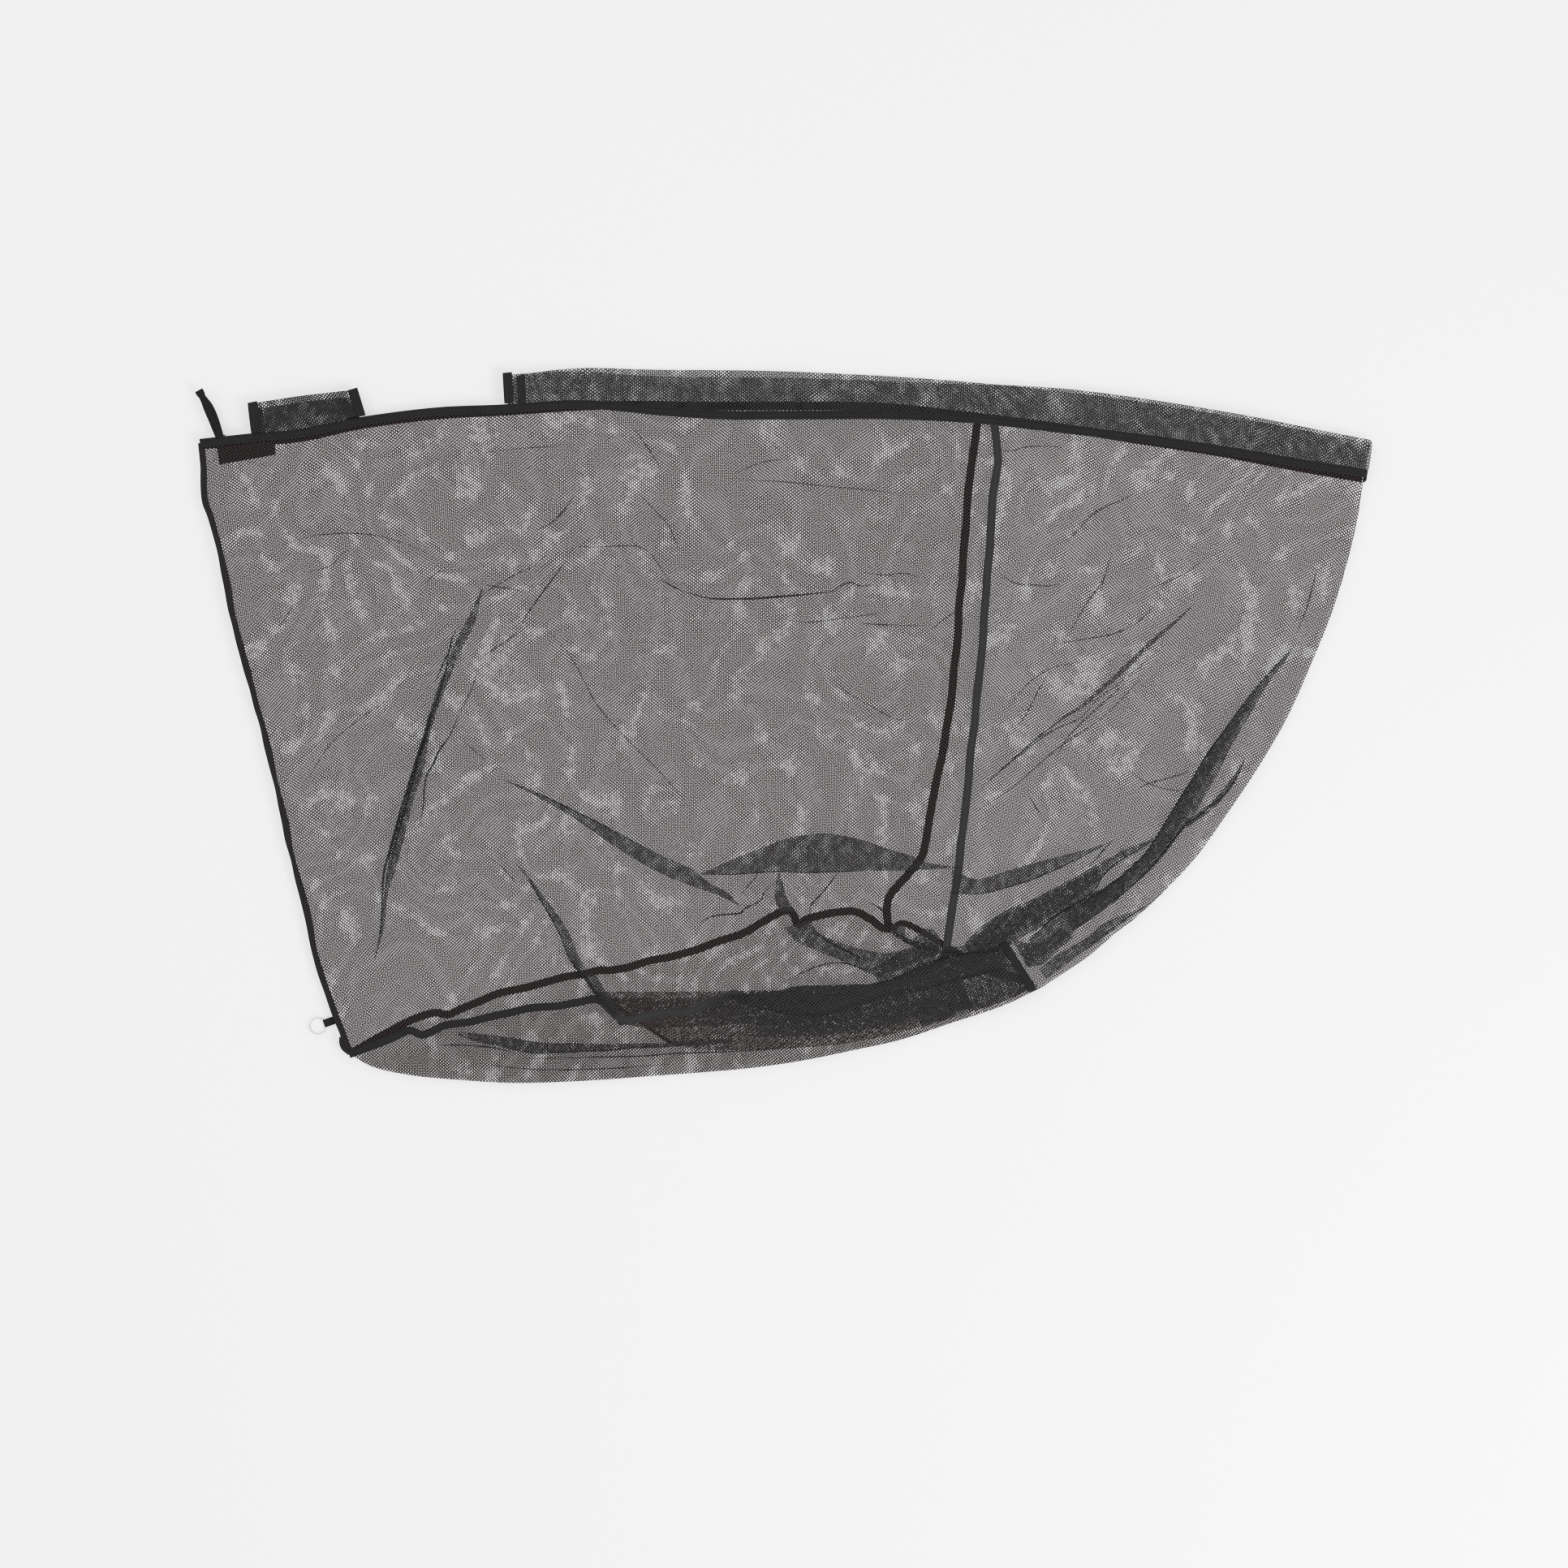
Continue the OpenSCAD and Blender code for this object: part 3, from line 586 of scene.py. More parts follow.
SIDE_CREASES = [
    ridge(431, 3.0, 2.4, -369, 100, -371, 90, -377, 59, -387, 27, -393, 13, -399, -6, -411, -44,
          -424, -86, -434, -123, -440, -144, -445, -165, -447, -207, -449, -228, -454, -249,
          lift_by=1.6),
    ridge(433, 2.6, 2.0, -383, 40, -390, 20, -397, -8, -408, -44, -420, -86, -430, -123, -438, -158,
          lift_by=1.6),
    ridge(483, 2.2, 1.8, -362, 13, -371, -8, -384, -27, -390, -41, -397, -53, -400, -69, -401, -86,
          -404, -104),
    ridge(471, 1.6, 1.6, -30, -162, -40, -174, -49, -185),
    ridge(473, 1.8, 1.6, -12, -171, -24, -183, -28, -192, -46, -201, -51, -206, -74, -208,
          -88, -212, -95, -220),
    ridge(475, 1.8, 1.6, 58, -160, 45, -178, 32, -192, 27, -199, 27, -211),
    ridge(477, 1.6, 1.4, -1, -282, 22, -270, 45, -262, 64, -261, 82, -266, 105, -272),
    ridge(479, 1.6, 1.4, 91, -194, 105, -201, 114, -217),
    ridge(481, 2.2, 2.0, 27, -221, 45, -236, 70, -249, 95, -262, lift_by=1.6),
    ridge(485, 2.4, 1.6, -113, 150, -100, 146, -79, 142, -40, 142, -11, 144, 25, 147, 60, 151),
    ridge(486, 1.3, 1.2, -140, 166, -128, 157, -112, 149),
    ridge(484, 1.5, 1.2, 52, 150, 62, 157, 72, 160, 82, 156, 96, 157),
    ridge(487, 1.6, 1.2, -243, 184, -260, 161, -277, 138, -288, 122, -294, 110),
    ridge(489, 1.1, 1.0, -148, 242, -138, 233, -129, 222, -123, 208, -118, 195),
    ridge(721, 1.8, 1.4, -388, 49, -379, 70, -372, 84, -369, 98, -362, 112, lift_by=1.6),
    ridge(488, 1.1, 1.0, -168, 331, -152, 308, -138, 286),
    ridge(482, 6.0, 1.6, 117, -225, 128, -233, 140, -239, 152, -243, 172, -248, lift_by=2.0),
    ridge(480, 3.4, 1.4, 99, -286, 112, -281, 130, -275, 145, -267, 160, -263, 174, -258,
          lift_by=4.0),
    ridge(491, 1.4, 1.4, -313, -58, -277, -72, -241, -89, -205, -107, -169, -126, -140, -141,
          lift_by=1.6),
    ridge(493, 1.2, 1.2, -339, -134, -328, -144, -316, -153, -305, -165, -295, -176),
    ridge(495, 4.0, 1.6, -241, -256, -232, -266, -220, -280, -210, -295, -200, -307, -188, -321,
          lift_by=1.4),
    ridge(497, 1.6, 1.4, -285, -165, -270, -193, -252, -225, -241, -254, lift_by=1.4),
    ridge(499, 1.3, 1.0, -95, -163, -58, -163, -12, -160, 22, -161, 59, -160, 91, -159,
          lift_by=1.8),
]
LONG_FOLD = [564, 91, 542, 68, 524, 48, 508, 28, 488, 1, 467, -28, 452, -53, 434, -82, 416, -112,
             398, -139, 375, -161, 353, -179, 326, -195, 308, -204]
REAR_PLEATS = [
    pleat(501, [184, -158, 205, -167, 219, -167, 252, -157, 291, -146, 330, -136, 360, -127],
          [184, -184, 205, -185, 219, -184, 242, -178, 272, -169, 311, -152, 360, -127],
          lift_by=1.0),
    pleat(511, LONG_FOLD,
          [564, 91, 551, 71, 537, 53, 526, 35, 510, 8, 492, -22, 479, -49, 465, -73, 452, -96,
           434, -121, 416, -145, 398, -163, 380, -179, 362, -195, 344, -208, 317, -226],
          lift_by=1.7, puff=0.9),
    pleat(513, [508, 28, 467, -28, 434, -82, 398, -139, 353, -179, 326, -195],
          [512, 20, 482, -26, 454, -76, 420, -132, 376, -172, 345, -198], lift_by=2.4, turn=11.0),
    pleat(515, [508, -33, 497, -51, 483, -69, 472, -82, 454, -96, 443, -103],
          [508, -33, 500, -53, 487, -73, 476, -87, 458, -101, 443, -112], lift_by=1.6),
    pleat(521, [407, -123, 389, -130, 371, -136, 362, -143, 344, -152, 326, -163, 303, -175,
           281, -186, 258, -197, 240, -204, 222, -217, 205, -231, 196, -242],
          [407, -127, 375, -145, 362, -154, 350, -166, 344, -179, 323, -193, 303, -208, 285, -220,
           263, -231, 246, -239, 228, -249, 206, -252], lift_by=1.0, turn=8.0),
    pleat(523, [344, -156, 303, -178, 258, -201, 240, -208, 222, -221, 205, -235],
          [346, -170, 323, -187, 285, -213, 246, -232, 228, -240, 208, -249],
          lift_by=2.0, turn=16.0),
    pleat(525, [375, -161, 353, -177, 330, -188, 308, -202, 294, -211, 285, -220, 272, -233,
           263, -244],
          [375, -181, 344, -208, 326, -220, 314, -231, 292, -247, 274, -260, 265, -267],
          lift_by=1.4, turn=10.0),
    pleat(527, [418, -181, 402, -195, 384, -204, 364, -211, 348, -220, 335, -231, 317, -242,
           299, -253, 281, -267],
          [416, -184, 398, -199, 380, -211, 357, -229, 339, -242, 317, -257, 296, -273, 287, -279],
          lift_by=1.0, turn=6.0),
    pleat(529, [173, -246, 184, -243, 196, -242, 214, -238, 230, -232, 246, -226],
          [176, -258, 190, -256, 201, -254, 218, -252, 234, -248, 250, -240],
          lift_by=2.4, turn=25.0),
    pleat(553, [248, -232, 262, -238, 280, -238, 305, -222],
          [268, -266, 284, -262, 300, -247, 318, -232], lift_by=1.0, turn=18.0),
    ridge(555, 1.5, 1.0, 205, -80, 246, -42, 292, -6, 326, 10, 344, 30, 375, 53, 420, 91),
    ridge(557, 1.4, 1.0, 209, -94, 252, -66, 300, -24, 352, 12, 400, 62),
    ridge(559, 1.3, 1.0, 245, 20, 268, 48, 296, 66, 330, 72),
    ridge(561, 1.3, 1.0, 375, -45, 400, -62, 430, -70, 452, -66),
    ridge(731, 5.5, 1.2, 290, -3, 310, 12, 328, 23, 345, 38, 370, 60, 392, 82, 415, 103, 436, 121,
          452, 137),
    ridge(732, 1.8, 1.0, 298, -36, 310, -14, 326, 4, 346, 22, 366, 40, 384, 58),
    ridge(733, 1.8, 1.0, 312, 100, 324, 122, 336, 142, 350, 160, 356, 178, 362, 194),
    ridge(734, 1.8, 1.0, 310, 204, 325, 220, 338, 234, 355, 244, 375, 253, 395, 264),
    ridge(735, 1.8, 1.0, 300, 92, 335, 98, 362, 103, 385, 113, 400, 126, 412, 140),
    ridge(736, 1.5, 1.0, 400, 152, 425, 162, 445, 172, 462, 186),
    ridge(737, 1.5, 1.0, 255, -2, 268, 18, 280, 42, 292, 62),
    ridge(738, 1.8, 1.0, 450, -48, 425, -56, 400, -63, 385, -72),
    ridge(739, 1.8, 1.0, 565, 104, 575, 128, 582, 152, 588, 176),
    ridge(740, 2.0, 1.0, 236, 171, 246, 163, 258, 158, 275, 157, 290, 156, 304, 158),
    ridge(741, 1.4, 1.0, 238, 306, 252, 306, 266, 310, 290, 311, 306, 309),
]
REAR_CREASES = [
    ridge(535, 1.6, 1.8, *LONG_FOLD, lift_by=1.8),
    ridge(531, 2.4, 1.8, 508, -33, 500, -53, 487, -73, 472, -85, 456, -99, 443, -108, 425, -130,
          407, -152, 389, -170, 362, -194, lift_by=1.8),
    ridge(533, 1.6, 1.4, 362, -125, 353, -134, 344, -145, 335, -154),
    ridge(537, 1.6, 1.4, 396, -134, 375, -145, 362, -154, 350, -166, 344, -177),
    ridge(539, 1.8, 1.6, 353, -178, 330, -190, 308, -203, 294, -212, 285, -221, 268, -236,
          lift_by=1.8),
    ridge(541, 1.3, 1.2, 398, -199, 375, -213, 350, -231, 330, -244),
    ridge(543, 1.3, 1.2, 184, -184, 219, -184, 242, -178, 272, -169, 311, -152, 350, -132),
    ridge(545, 1.5, 1.2, 216, -67, 235, -50, 250, -37, 275, -15, 300, 5, 318, 17),
    ridge(546, 1.3, 1.0, 268, -74, 276, -88, 284, -99),
    ridge(547, 5.0, 1.6, 174, -247, 190, -252, 204, -251, 225, -248, 240, -240, lift_by=3.0),
]
FLOOR_PLEATS = [
    pleat(601, [-358, -338, -334, -340, -303, -344, -270, -349, -232, -350, -199, -351, -168, -350,
           -137, -350, -106, -347, -61, -345],
          [-365, -340, -340, -349, -317, -353, -292, -359, -270, -361, -232, -359, -199, -358,
           -168, -355, -137, -354, -61, -350], turn=9.0),
    pleat(603, [150, -301, 200, -303, 240, -296, 266, -286],
          [150, -333, 198, -317, 234, -306, 264, -293], lift_by=1.4, turn=5.0),
    pleat(605, [-30, -322, 40, -321, 100, -314, 160, -303, 215, -300],
          [-30, -343, 40, -341, 100, -332, 160, -321, 215, -309], lift_by=2.2, turn=15.0),
]
FLOOR_CREASES = [
    ridge(611, 1.6, 1.4, -385, -352, -354, -352, -323, -355, -299, -361),
    ridge(613, 1.5, 1.4, -292, -367, -241, -366, -199, -365, -158, -364, -117, -361, -61, -359,
          10, -355),
    ridge(615, 1.6, 1.2, -317, -353, -292, -359, -270, -361, -232, -359, -199, -358, -168, -355,
          -137, -354, -100, -351, lift_by=1.6),
    ridge(617, 1.2, 1.0, -330, -374, -270, -379, -200, -378, -130, -373),
]

upper_side = mesh_piece("upper_side_mesh",
                        [side_panel(rim_upper, side_upper, bottom_upper, upper_z, 101, **UP)],
                        MESH, [(SIDE_PLEATS, PLEATED_MESH), (SIDE_CREASES, CREASE_SHADED_MESH)])
lower_side = mesh_piece("lower_side_mesh",
                        [side_panel(rim_lower, side_lower, bottom_lower, lower_z, 151, **DOWN)],
                        MESH)


def leaf(rim, side, rear, across, down):
    _, right_rim = split_at(rim, side[0, 0])
    top = np.vstack([right_rim[:-1], fold[:1]])
    return coons(top, fold, rear, side, across, down)


across = toward_end(REAR_WIDTH)
rear = mesh_piece(
    "rear_mesh",
    turned(leaf(rim_upper, side_upper, rear_upper, across, even(REAR_DEPTH)),
           leaf(rim_lower, side_lower, rear_lower, across, even(REAR_DEPTH)), 201,
           dict(stretch=1.0, turn=3.0, heading=40.0),
           dict(stretch=1.018, turn=2.2, heading=75.0)),
    REAR_MESH, [(REAR_PLEATS, PLEATED_MESH), (REAR_CREASES, CREASE_SHADED_MESH)])


def floor_leaf(bottom, back, across, down):
    """From the seams down to the keel: columns run from the seam to the keel."""
    seam = np.vstack([bottom[:-1], back])
    top, low = resample(seam, down), resample(keel[::-1], down)
    return top[:, None] * (1 - across[None, :, None]) + low[:, None] * across[None, :, None]


across = toward_end(FLOOR_WIDTH, edge=10.0, fine=8)
floor = mesh_piece(
    "floor_mesh",
    turned(floor_leaf(bottom_upper, rear_upper, across, even(FLOOR_LENGTH)),
           floor_leaf(bottom_lower, rear_lower, across, even(FLOOR_LENGTH)), 251,
           dict(stretch=1.0, turn=6.0), dict(stretch=1.03, turn=4.0)),
    FLOOR_MESH, [(FLOOR_PLEATS, CLOSE_MESH), (FLOOR_CREASES, CREASE_SHADED_MESH)])
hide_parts("upper_side_panel")
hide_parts("lower_side_panel")
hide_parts("lower_rear_panel", "upper_rear_panel", "rear_panel_fold")
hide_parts("lower_floor_panel", "upper_floor_panel", "floor_panel_fold")


# ---- Straps: bands of tape along a path, and the stitches that hold them ----
EDGE = 0.4             # radius of a tape's edge in mm
STITCH, STITCH_PITCH, STITCH_RADIUS = 2.3, 3.2, 0.24
THREAD_SIDES = 5
# Along a stitch: (share of its length, share of its radius, how many radii it is sunk).
STITCH_SHAPE = [(0.0, 0.05, 1.2), (0.12, 0.75, 0.5), (0.5, 1.0, 0.0), (0.88, 0.75, 0.5),
                (1.0, 0.05, 1.2)]


def flat_vectors(side):
    """(x, y) vectors with a z of nothing."""
    return np.concatenate([side, np.zeros((len(side), 1))], axis=1)


def strap(path, side, widths, thick):
    """A band along a path of (x, y, z) points, with its width lying along side, (x, y) unit
    vectors. The section is a rounded bar with slightly raised selvedges, closed at both ends."""
    way = np.gradient(path, axis=0)
    way /= np.linalg.norm(way, axis=1, keepdims=True) + TINY
    across = flat_vectors(side)
    up = np.cross(way, across)
    up /= np.linalg.norm(up, axis=1, keepdims=True) + TINY
    half = np.broadcast_to(np.asarray(widths, float), (len(path),))[:, None] / 2
    # Round the section: (share of half the width, mm from there, share of the thickness).
    section = [(-1, 0, 0.0), (-1, EDGE, 0.40), (-1, 3 * EDGE, 0.50), (0, 0, 0.41),
               (1, -3 * EDGE, 0.50), (1, -EDGE, 0.40), (1, 0, 0.0), (1, -EDGE, -0.40),
               (0, 0, -0.46), (-1, EDGE, -0.40), (-1, 0, 0.0)]
    place = np.stack([path + (k * half + d) * across + q * thick * up for k, d, q in section],
                     axis=1)
    along = lengths(path)
    uv = np.stack([np.stack([along, (k * half + d)[:, 0]], axis=1) for k, d, q in section], axis=1)
    caps = [np.repeat(place[end].mean(0)[None], len(section), 0)[None] for end in (0, -1)]
    place = np.concatenate([caps[0], place, caps[1]], axis=0)
    return place, np.concatenate([uv[:1], uv, uv[-1:]], axis=0)


def lay(line, height, step=3.0, wobble=0.0, seed=5):
    """A line in plan laid on a surface: its (x, y, z) path and its side vectors."""
    total = lengths(line)[-1]
    line = resample(line, max(4, int(total / step)))
    along = lengths(line)
    if wobble:
        sway = waves(seed, 60)(along, along * 0) * np.sin(np.pi * along / total)
        line = line + wobble * sway[:, None] * normals(line)
    return np.concatenate([line, height(line[:, 0], line[:, 1])[:, None]], axis=1), normals(line)


def bar(p, q, radius):
    """One stitch: a short thread from p to q that dives into the cloth at both ends."""
    p, q = np.asarray(p, float), np.asarray(q, float)
    way = (q - p) / (np.linalg.norm(q - p) + 1e-9)
    side = np.cross(way, (0, 0, 1.0))
    side /= np.linalg.norm(side) + 1e-9
    up = np.cross(side, way)
    turn = np.linspace(0, 2 * np.pi, THREAD_SIDES + 1)[:, None]
    place = np.array([p + (q - p) * t - up * sink * radius
                      + size * radius * (np.cos(turn) * side + np.sin(turn) * up)
                      for t, size, sink in STITCH_SHAPE])
    return place, place[..., :2]


def seam_stitches(path, side, offsets, top):
    """Rows of stitches along a strap, at the given distances from its middle."""
    total = lengths(path)[-1]
    marks = np.arange(1.5, total - STITCH, STITCH_PITCH)
    found = []
    for d in offsets:
        row = path + d * flat_vectors(side)
        row[:, 2] += top
        along = lengths(row)
        for m in marks * along[-1] / total:
            ends = [[np.interp(t, along, row[:, k]) for k in range(3)] for t in (m, m + STITCH)]
            found.append(bar(*ends, STITCH_RADIUS))
    return found


# ---- Tapes over the rim, the seams and the mouth ----
stitches = []


def turn_over(high, low, way, count=7):
    """Rows that carry a band from the end of its high run round to the start of its low run."""
    mid, half = (high + low) / 2, (high - low) / 2
    reach = np.abs(half[..., 2:3])
    out = np.array([way[0], way[1], 0.0])
    return np.stack([mid + half * math.sin(a) + out * reach * math.cos(a)
                     for a in np.linspace(np.pi / 2, -np.pi / 2, count + 2)[1:-1]])


def tape(name, nodes, runs, width, thick=1.6, material=TAPE, rows=(-2.6, 2.6), lit_runs=()):
    """A binding tape: each run is (path, side), and its lit runs are in the lighter side tape's
    material, painted light."""
    grids = []
    for path, side in [*runs, *lit_runs]:
        grids.append(strap(path, side, width, thick))
        if rows:
            stitches.extend(seam_stitches(path, side, rows, thick * 0.5))
    made = mesh_piece(name, grids[:len(runs)], material,
                      [(grids[len(runs):], LIT_SIDE_TAPE)] if lit_runs else ())
    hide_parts(*nodes)
    return made


on_upper, on_lower = above(upper_z, 0.2), above(lower_z, 0.3)
RIGHT_END = (0.99, -0.16)      # which way the rim points where it turns over
high_path, high_side = lay(rim_upper, on_upper)
low_path, low_side = lay(rim_lower, on_lower)
bend = turn_over(high_path[-1:], low_path[-1:], RIGHT_END)[:, 0]
bend_side = np.repeat(high_side[-1:], len(bend), 0)
rim_path = np.vstack([high_path, bend])
tape("upper_rim_tape", ["upper_rim_binding", "rim_binding_turn"],
     [(rim_path, np.vstack([high_side, bend_side]))], 9.6, 1.7, rows=(-2.9, 0.0, 2.9))
tape("lower_rim_tape", ["lower_rim_binding"], [(low_path, low_side)], 9.6, 1.7, SHADED_TAPE)
tape("upper_side_tape", ["upper_side_seam_tape"],
     [lay(side_upper[1:], on_upper, wobble=0.5, seed=61)], 9.0, material=LIT_SIDE_TAPE)
tape("lower_side_tape", ["lower_side_seam_tape"],
     [lay(side_lower[1:], on_lower, wobble=0.5, seed=62)], 8.8, material=SHADED_TAPE)
seam_path, seam_side = lay(bottom_upper, on_upper, wobble=0.6, seed=63)
lit_from = int(np.argmax(seam_path[:, 0] > -203))     # from here on the tape is drawn in the lighter side-tape material: painted light
tape("upper_bottom_tape", ["upper_bottom_seam_tape"], [(seam_path[:lit_from + 1],
                                                        seam_side[:lit_from + 1])], 8.6,
     lit_runs=[(seam_path[lit_from:], seam_side[lit_from:])])
tape("lower_bottom_tape", ["lower_bottom_seam_tape"],
     [lay(bottom_lower, on_lower, wobble=0.8, seed=64)], 8.6, material=SHADED_TAPE)
tape("upper_rear_tape", ["upper_rear_seam_tape"], [lay(rear_upper[:-6], on_upper)], 7.0, 1.4,
     SHADED_TAPE)
tape("lower_rear_tape", ["lower_rear_seam_tape"], [lay(rear_lower[:-8], on_lower)], 7.0, 1.4,
     SHADED_TAPE)
tape("upper_mouth_tape", ["upper_mouth_binding"], [lay(mouth, on_upper, wobble=0.4, seed=65)],
     4.4, 1.6, EDGE_TAPE, rows=(0.6,))
tape("lower_mouth_tape", ["lower_mouth_binding"],
     [lay(mouth + [1.4, 0], on_lower, wobble=0.5, seed=66)], 4.4, 1.6, EDGE_TAPE, rows=())
corner = curve([-491, -343, -491, -350, -488, -356, -481, -360, -473, -358, -463, -353], 60)
corner_tapes = mesh_piece("corner_tapes", [
    strap(*lay(corner, above(upper_z, 0.7), 1.5), 5.6, 1.5),
    strap(*lay(corner + [1, 1], above(lower_z, 1.3), 1.5), 5.6, 1.3)], EDGE_TAPE)


# ---- Pole sleeves: flattened tubes of mesh, open at their bound mouths ----
def foot_of(rim):
    """The sewn edge of the long sleeve on one side of the net."""
    foot = rim + 4.0 * normals(rim)
    return foot[foot[:, 0] > -309]


long_top_upper, long_top_lower = curve(LONG_TOP_UPPER, 500), curve(LONG_TOP_LOWER, 500)
sleeve_upper_z, sleeve_lower_z = above(upper_z, 1.6), above(lower_z, 1.8)
count = even(960)
high, high_uv = tube(foot_of(rim_upper), long_top_upper, count, sleeve_upper_z, 1.5, 301)
low, low_uv = tube(foot_of(rim_lower), long_top_lower, count, sleeve_lower_z, 1.2, 311)
low, low_uv = low[::-1, ::-1], low_uv[::-1, ::-1]
bend = turn_over(high[-1], low[0], RIGHT_END)
steps = np.arange(1, len(bend) + 1)[:, None, None] * [1.9, 0.0]
bend_uv = high_uv[-1] + steps
low_uv = low_uv * [-1, 1] + (bend_uv[-1, 0] - (low_uv * [-1, 1])[0, 0]) * [1, 0]
long_sleeve = mesh_piece("long_sleeve_mesh", [
    (np.concatenate([high, bend, low]), np.concatenate([high_uv, bend_uv, low_uv]))],
    SLEEVE_MESH)
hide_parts("lower_long_sleeve_under", "lower_long_sleeve_top",
            "lower_long_sleeve_edges", "upper_long_sleeve_under", "upper_long_sleeve_top",
            "upper_long_sleeve_edges", "long_sleeve_turn")


def plain_tube(name, nodes, foot, top, height, plump, seed, material, extra=()):
    foot, top = curve(foot, 80), curve(top, 80)
    made = mesh_piece(name, [tube(foot, top, even(lengths(foot)[-1]), height, plump, seed)],
                      material, extra)
    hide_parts(*nodes)
    return made


def bottom_z(x, y):
    """The upper bottom sleeve comes out from between the layers as it runs to the right."""
    return upper_z(x, y) + np.interp(x, [-110, -40], [-3.0, 3.6])


floor_z = above(lower_z, 2.4)
upper_short = plain_tube(
    "upper_short_sleeve_mesh", ["upper_short_sleeve"],
    [-588, 325, -530, 331, -466, 346], [-591, 358, -530, 367, -476, 373],
    sleeve_upper_z, 1.6, 321, DENSE_MESH)
lower_short = plain_tube(
    "lower_short_sleeve_mesh", ["lower_short_sleeve"],
    [-586, 322, -530, 327, -470, 341], [-589, 352, -530, 361, -481, 366],
    sleeve_lower_z, 1.2, 331, DENSE_MESH)
roll = tube(
    curve([-40, -309, 17, -317, 46, -315, 82, -304, 117, -294, 159, -287, 187, -279, 215, -272,
           245, -265], 120),
    curve([-45, -298, -9, -291, 15, -286, 50, -285, 81, -284, 100, -283, 130, -274, 145, -266,
           173, -257, 201, -251, 222, -249, 240, -246], 120),
    even(310), above(bottom_z, 2.2), 3.2, 345)
upper_bottom = plain_tube(
    "upper_bottom_sleeve_mesh",
    ["upper_bottom_sleeve_under", "upper_bottom_sleeve_top", "upper_bottom_sleeve_edges"],
    [-180, -329, -150, -333, -110, -332, -43, -328, 17, -325, 80, -318, 138, -311, 200, -303,
     274, -291],
    [-198, -300, -150, -300, -110, -300, -60, -296, -9, -292, 15, -287, 50, -286, 81, -284,
     100, -284, 130, -275, 145, -267, 173, -258, 201, -251, 222, -248, 241, -240],
    bottom_z, 2.2, 341, CLOSE_MESH, [([roll], ROLLED_SHADED_MESH)])
# Dark creases along the rolled sleeve's edges: the folds are real, their dark yarn is painted
# shade.
roll_shade = mesh_piece("upper_bottom_sleeve_fold_shade", [
    ridge(347, 6.0, 1.2, -30, -311, 17, -318, 46, -316, 82, -305, 117, -295, 159, -288, 187, -280,
          215, -273, 245, -266, base=bottom_z, lift_by=1.6),
    ridge(349, 6.5, 1.2, -62, -298, -45, -303, -30, -306, -12, -305, base=bottom_z, lift_by=2.0)],
    CREASE_SHADED_MESH)
lower_bottom = plain_tube(
    "lower_bottom_sleeve_mesh",
    ["lower_bottom_sleeve_under", "lower_bottom_sleeve_top", "lower_bottom_sleeve_edges"],
    [-124, -352, -79, -358, 17, -355, 75, -349, 138, -335, 204, -311],
    [-212, -293, -120, -293, -30, -292, 60, -289, 120, -279, 180, -266],
    floor_z, 1.0, 351, PLEATED_MESH)


def mouth_tapes(name, node, bands, material=TAPE):
    """The tape folded over a sleeve's mouths, as a thick short tube round each: a band is the
    sleeve's height and plumpness, and the two ends of its foot and of its top."""
    grids = []
    for height, plump, *ends in bands:
        foot, top = np.reshape(np.array(ends, float), (2, 2, 2))
        place, uv = tube(foot, top, np.linspace(0, 1, 6), height, plump + 0.55, 361, across=12)
        grids.append((place, uv[..., ::-1] - [0.0, 4.5]))
        path, side = lay(np.linspace(foot.mean(0), top.mean(0), 14), above(height, plump + 0.9))
        stitches.extend(seam_stitches(path, side, (-2.2, 2.2), 0.1))
    made = mesh_piece(name, grids, material)
    thick = made.modifiers.new("thick", "SOLIDIFY")
    thick.thickness, thick.offset = 0.9 * MM, 0.0
    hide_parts(node)


mouth_tapes("long_sleeve_mouth_tapes", "long_sleeve_end_bindings", [
    (sleeve_upper_z, 1.5, -311, 358, -301, 358.5, -313, 391, -303, 392),
    (sleeve_lower_z, 1.2, -297, 357, -288, 357.5, -298, 389, -289, 391)])
mouth_tapes("upper_short_sleeve_tapes", "upper_short_sleeve_bindings", [
    (sleeve_upper_z, 1.6, -591, 325, -581, 326, -595, 358, -585, 360),
    (sleeve_upper_z, 1.6, -475, 343, -465, 345, -484, 372, -474, 375)])
mouth_tapes("lower_short_sleeve_tapes", "lower_short_sleeve_bindings", [
    (sleeve_lower_z, 1.2, -588, 321, -578, 322, -591, 352, -581, 354),
    (sleeve_lower_z, 1.2, -483, 337, -473, 339, -497, 363, -487, 365)])
mouth_tapes("upper_bottom_sleeve_tapes", "upper_bottom_sleeve_bindings", [
    (bottom_z, 0.8, -184, -330, -176, -329, -202, -301, -194, -299),
    (bottom_z, 2.4, 269, -293, 278, -290, 236, -240, 244, -236)])
mouth_tapes("lower_bottom_sleeve_tapes", "lower_bottom_sleeve_bindings", [
    (floor_z, 0.8, -129, -351, -122, -352, -213, -294, -207, -293),
    (floor_z, 0.8, 200, -313, 208, -309, 176, -268, 184, -265)], SHADED_TAPE)

# ---- Hook and loop patches, pull loop, ring tab and thread ----
PATCH_CORNERS = [-629.5, 310, -566.5, 316, -565.5, 302, -627, 291]


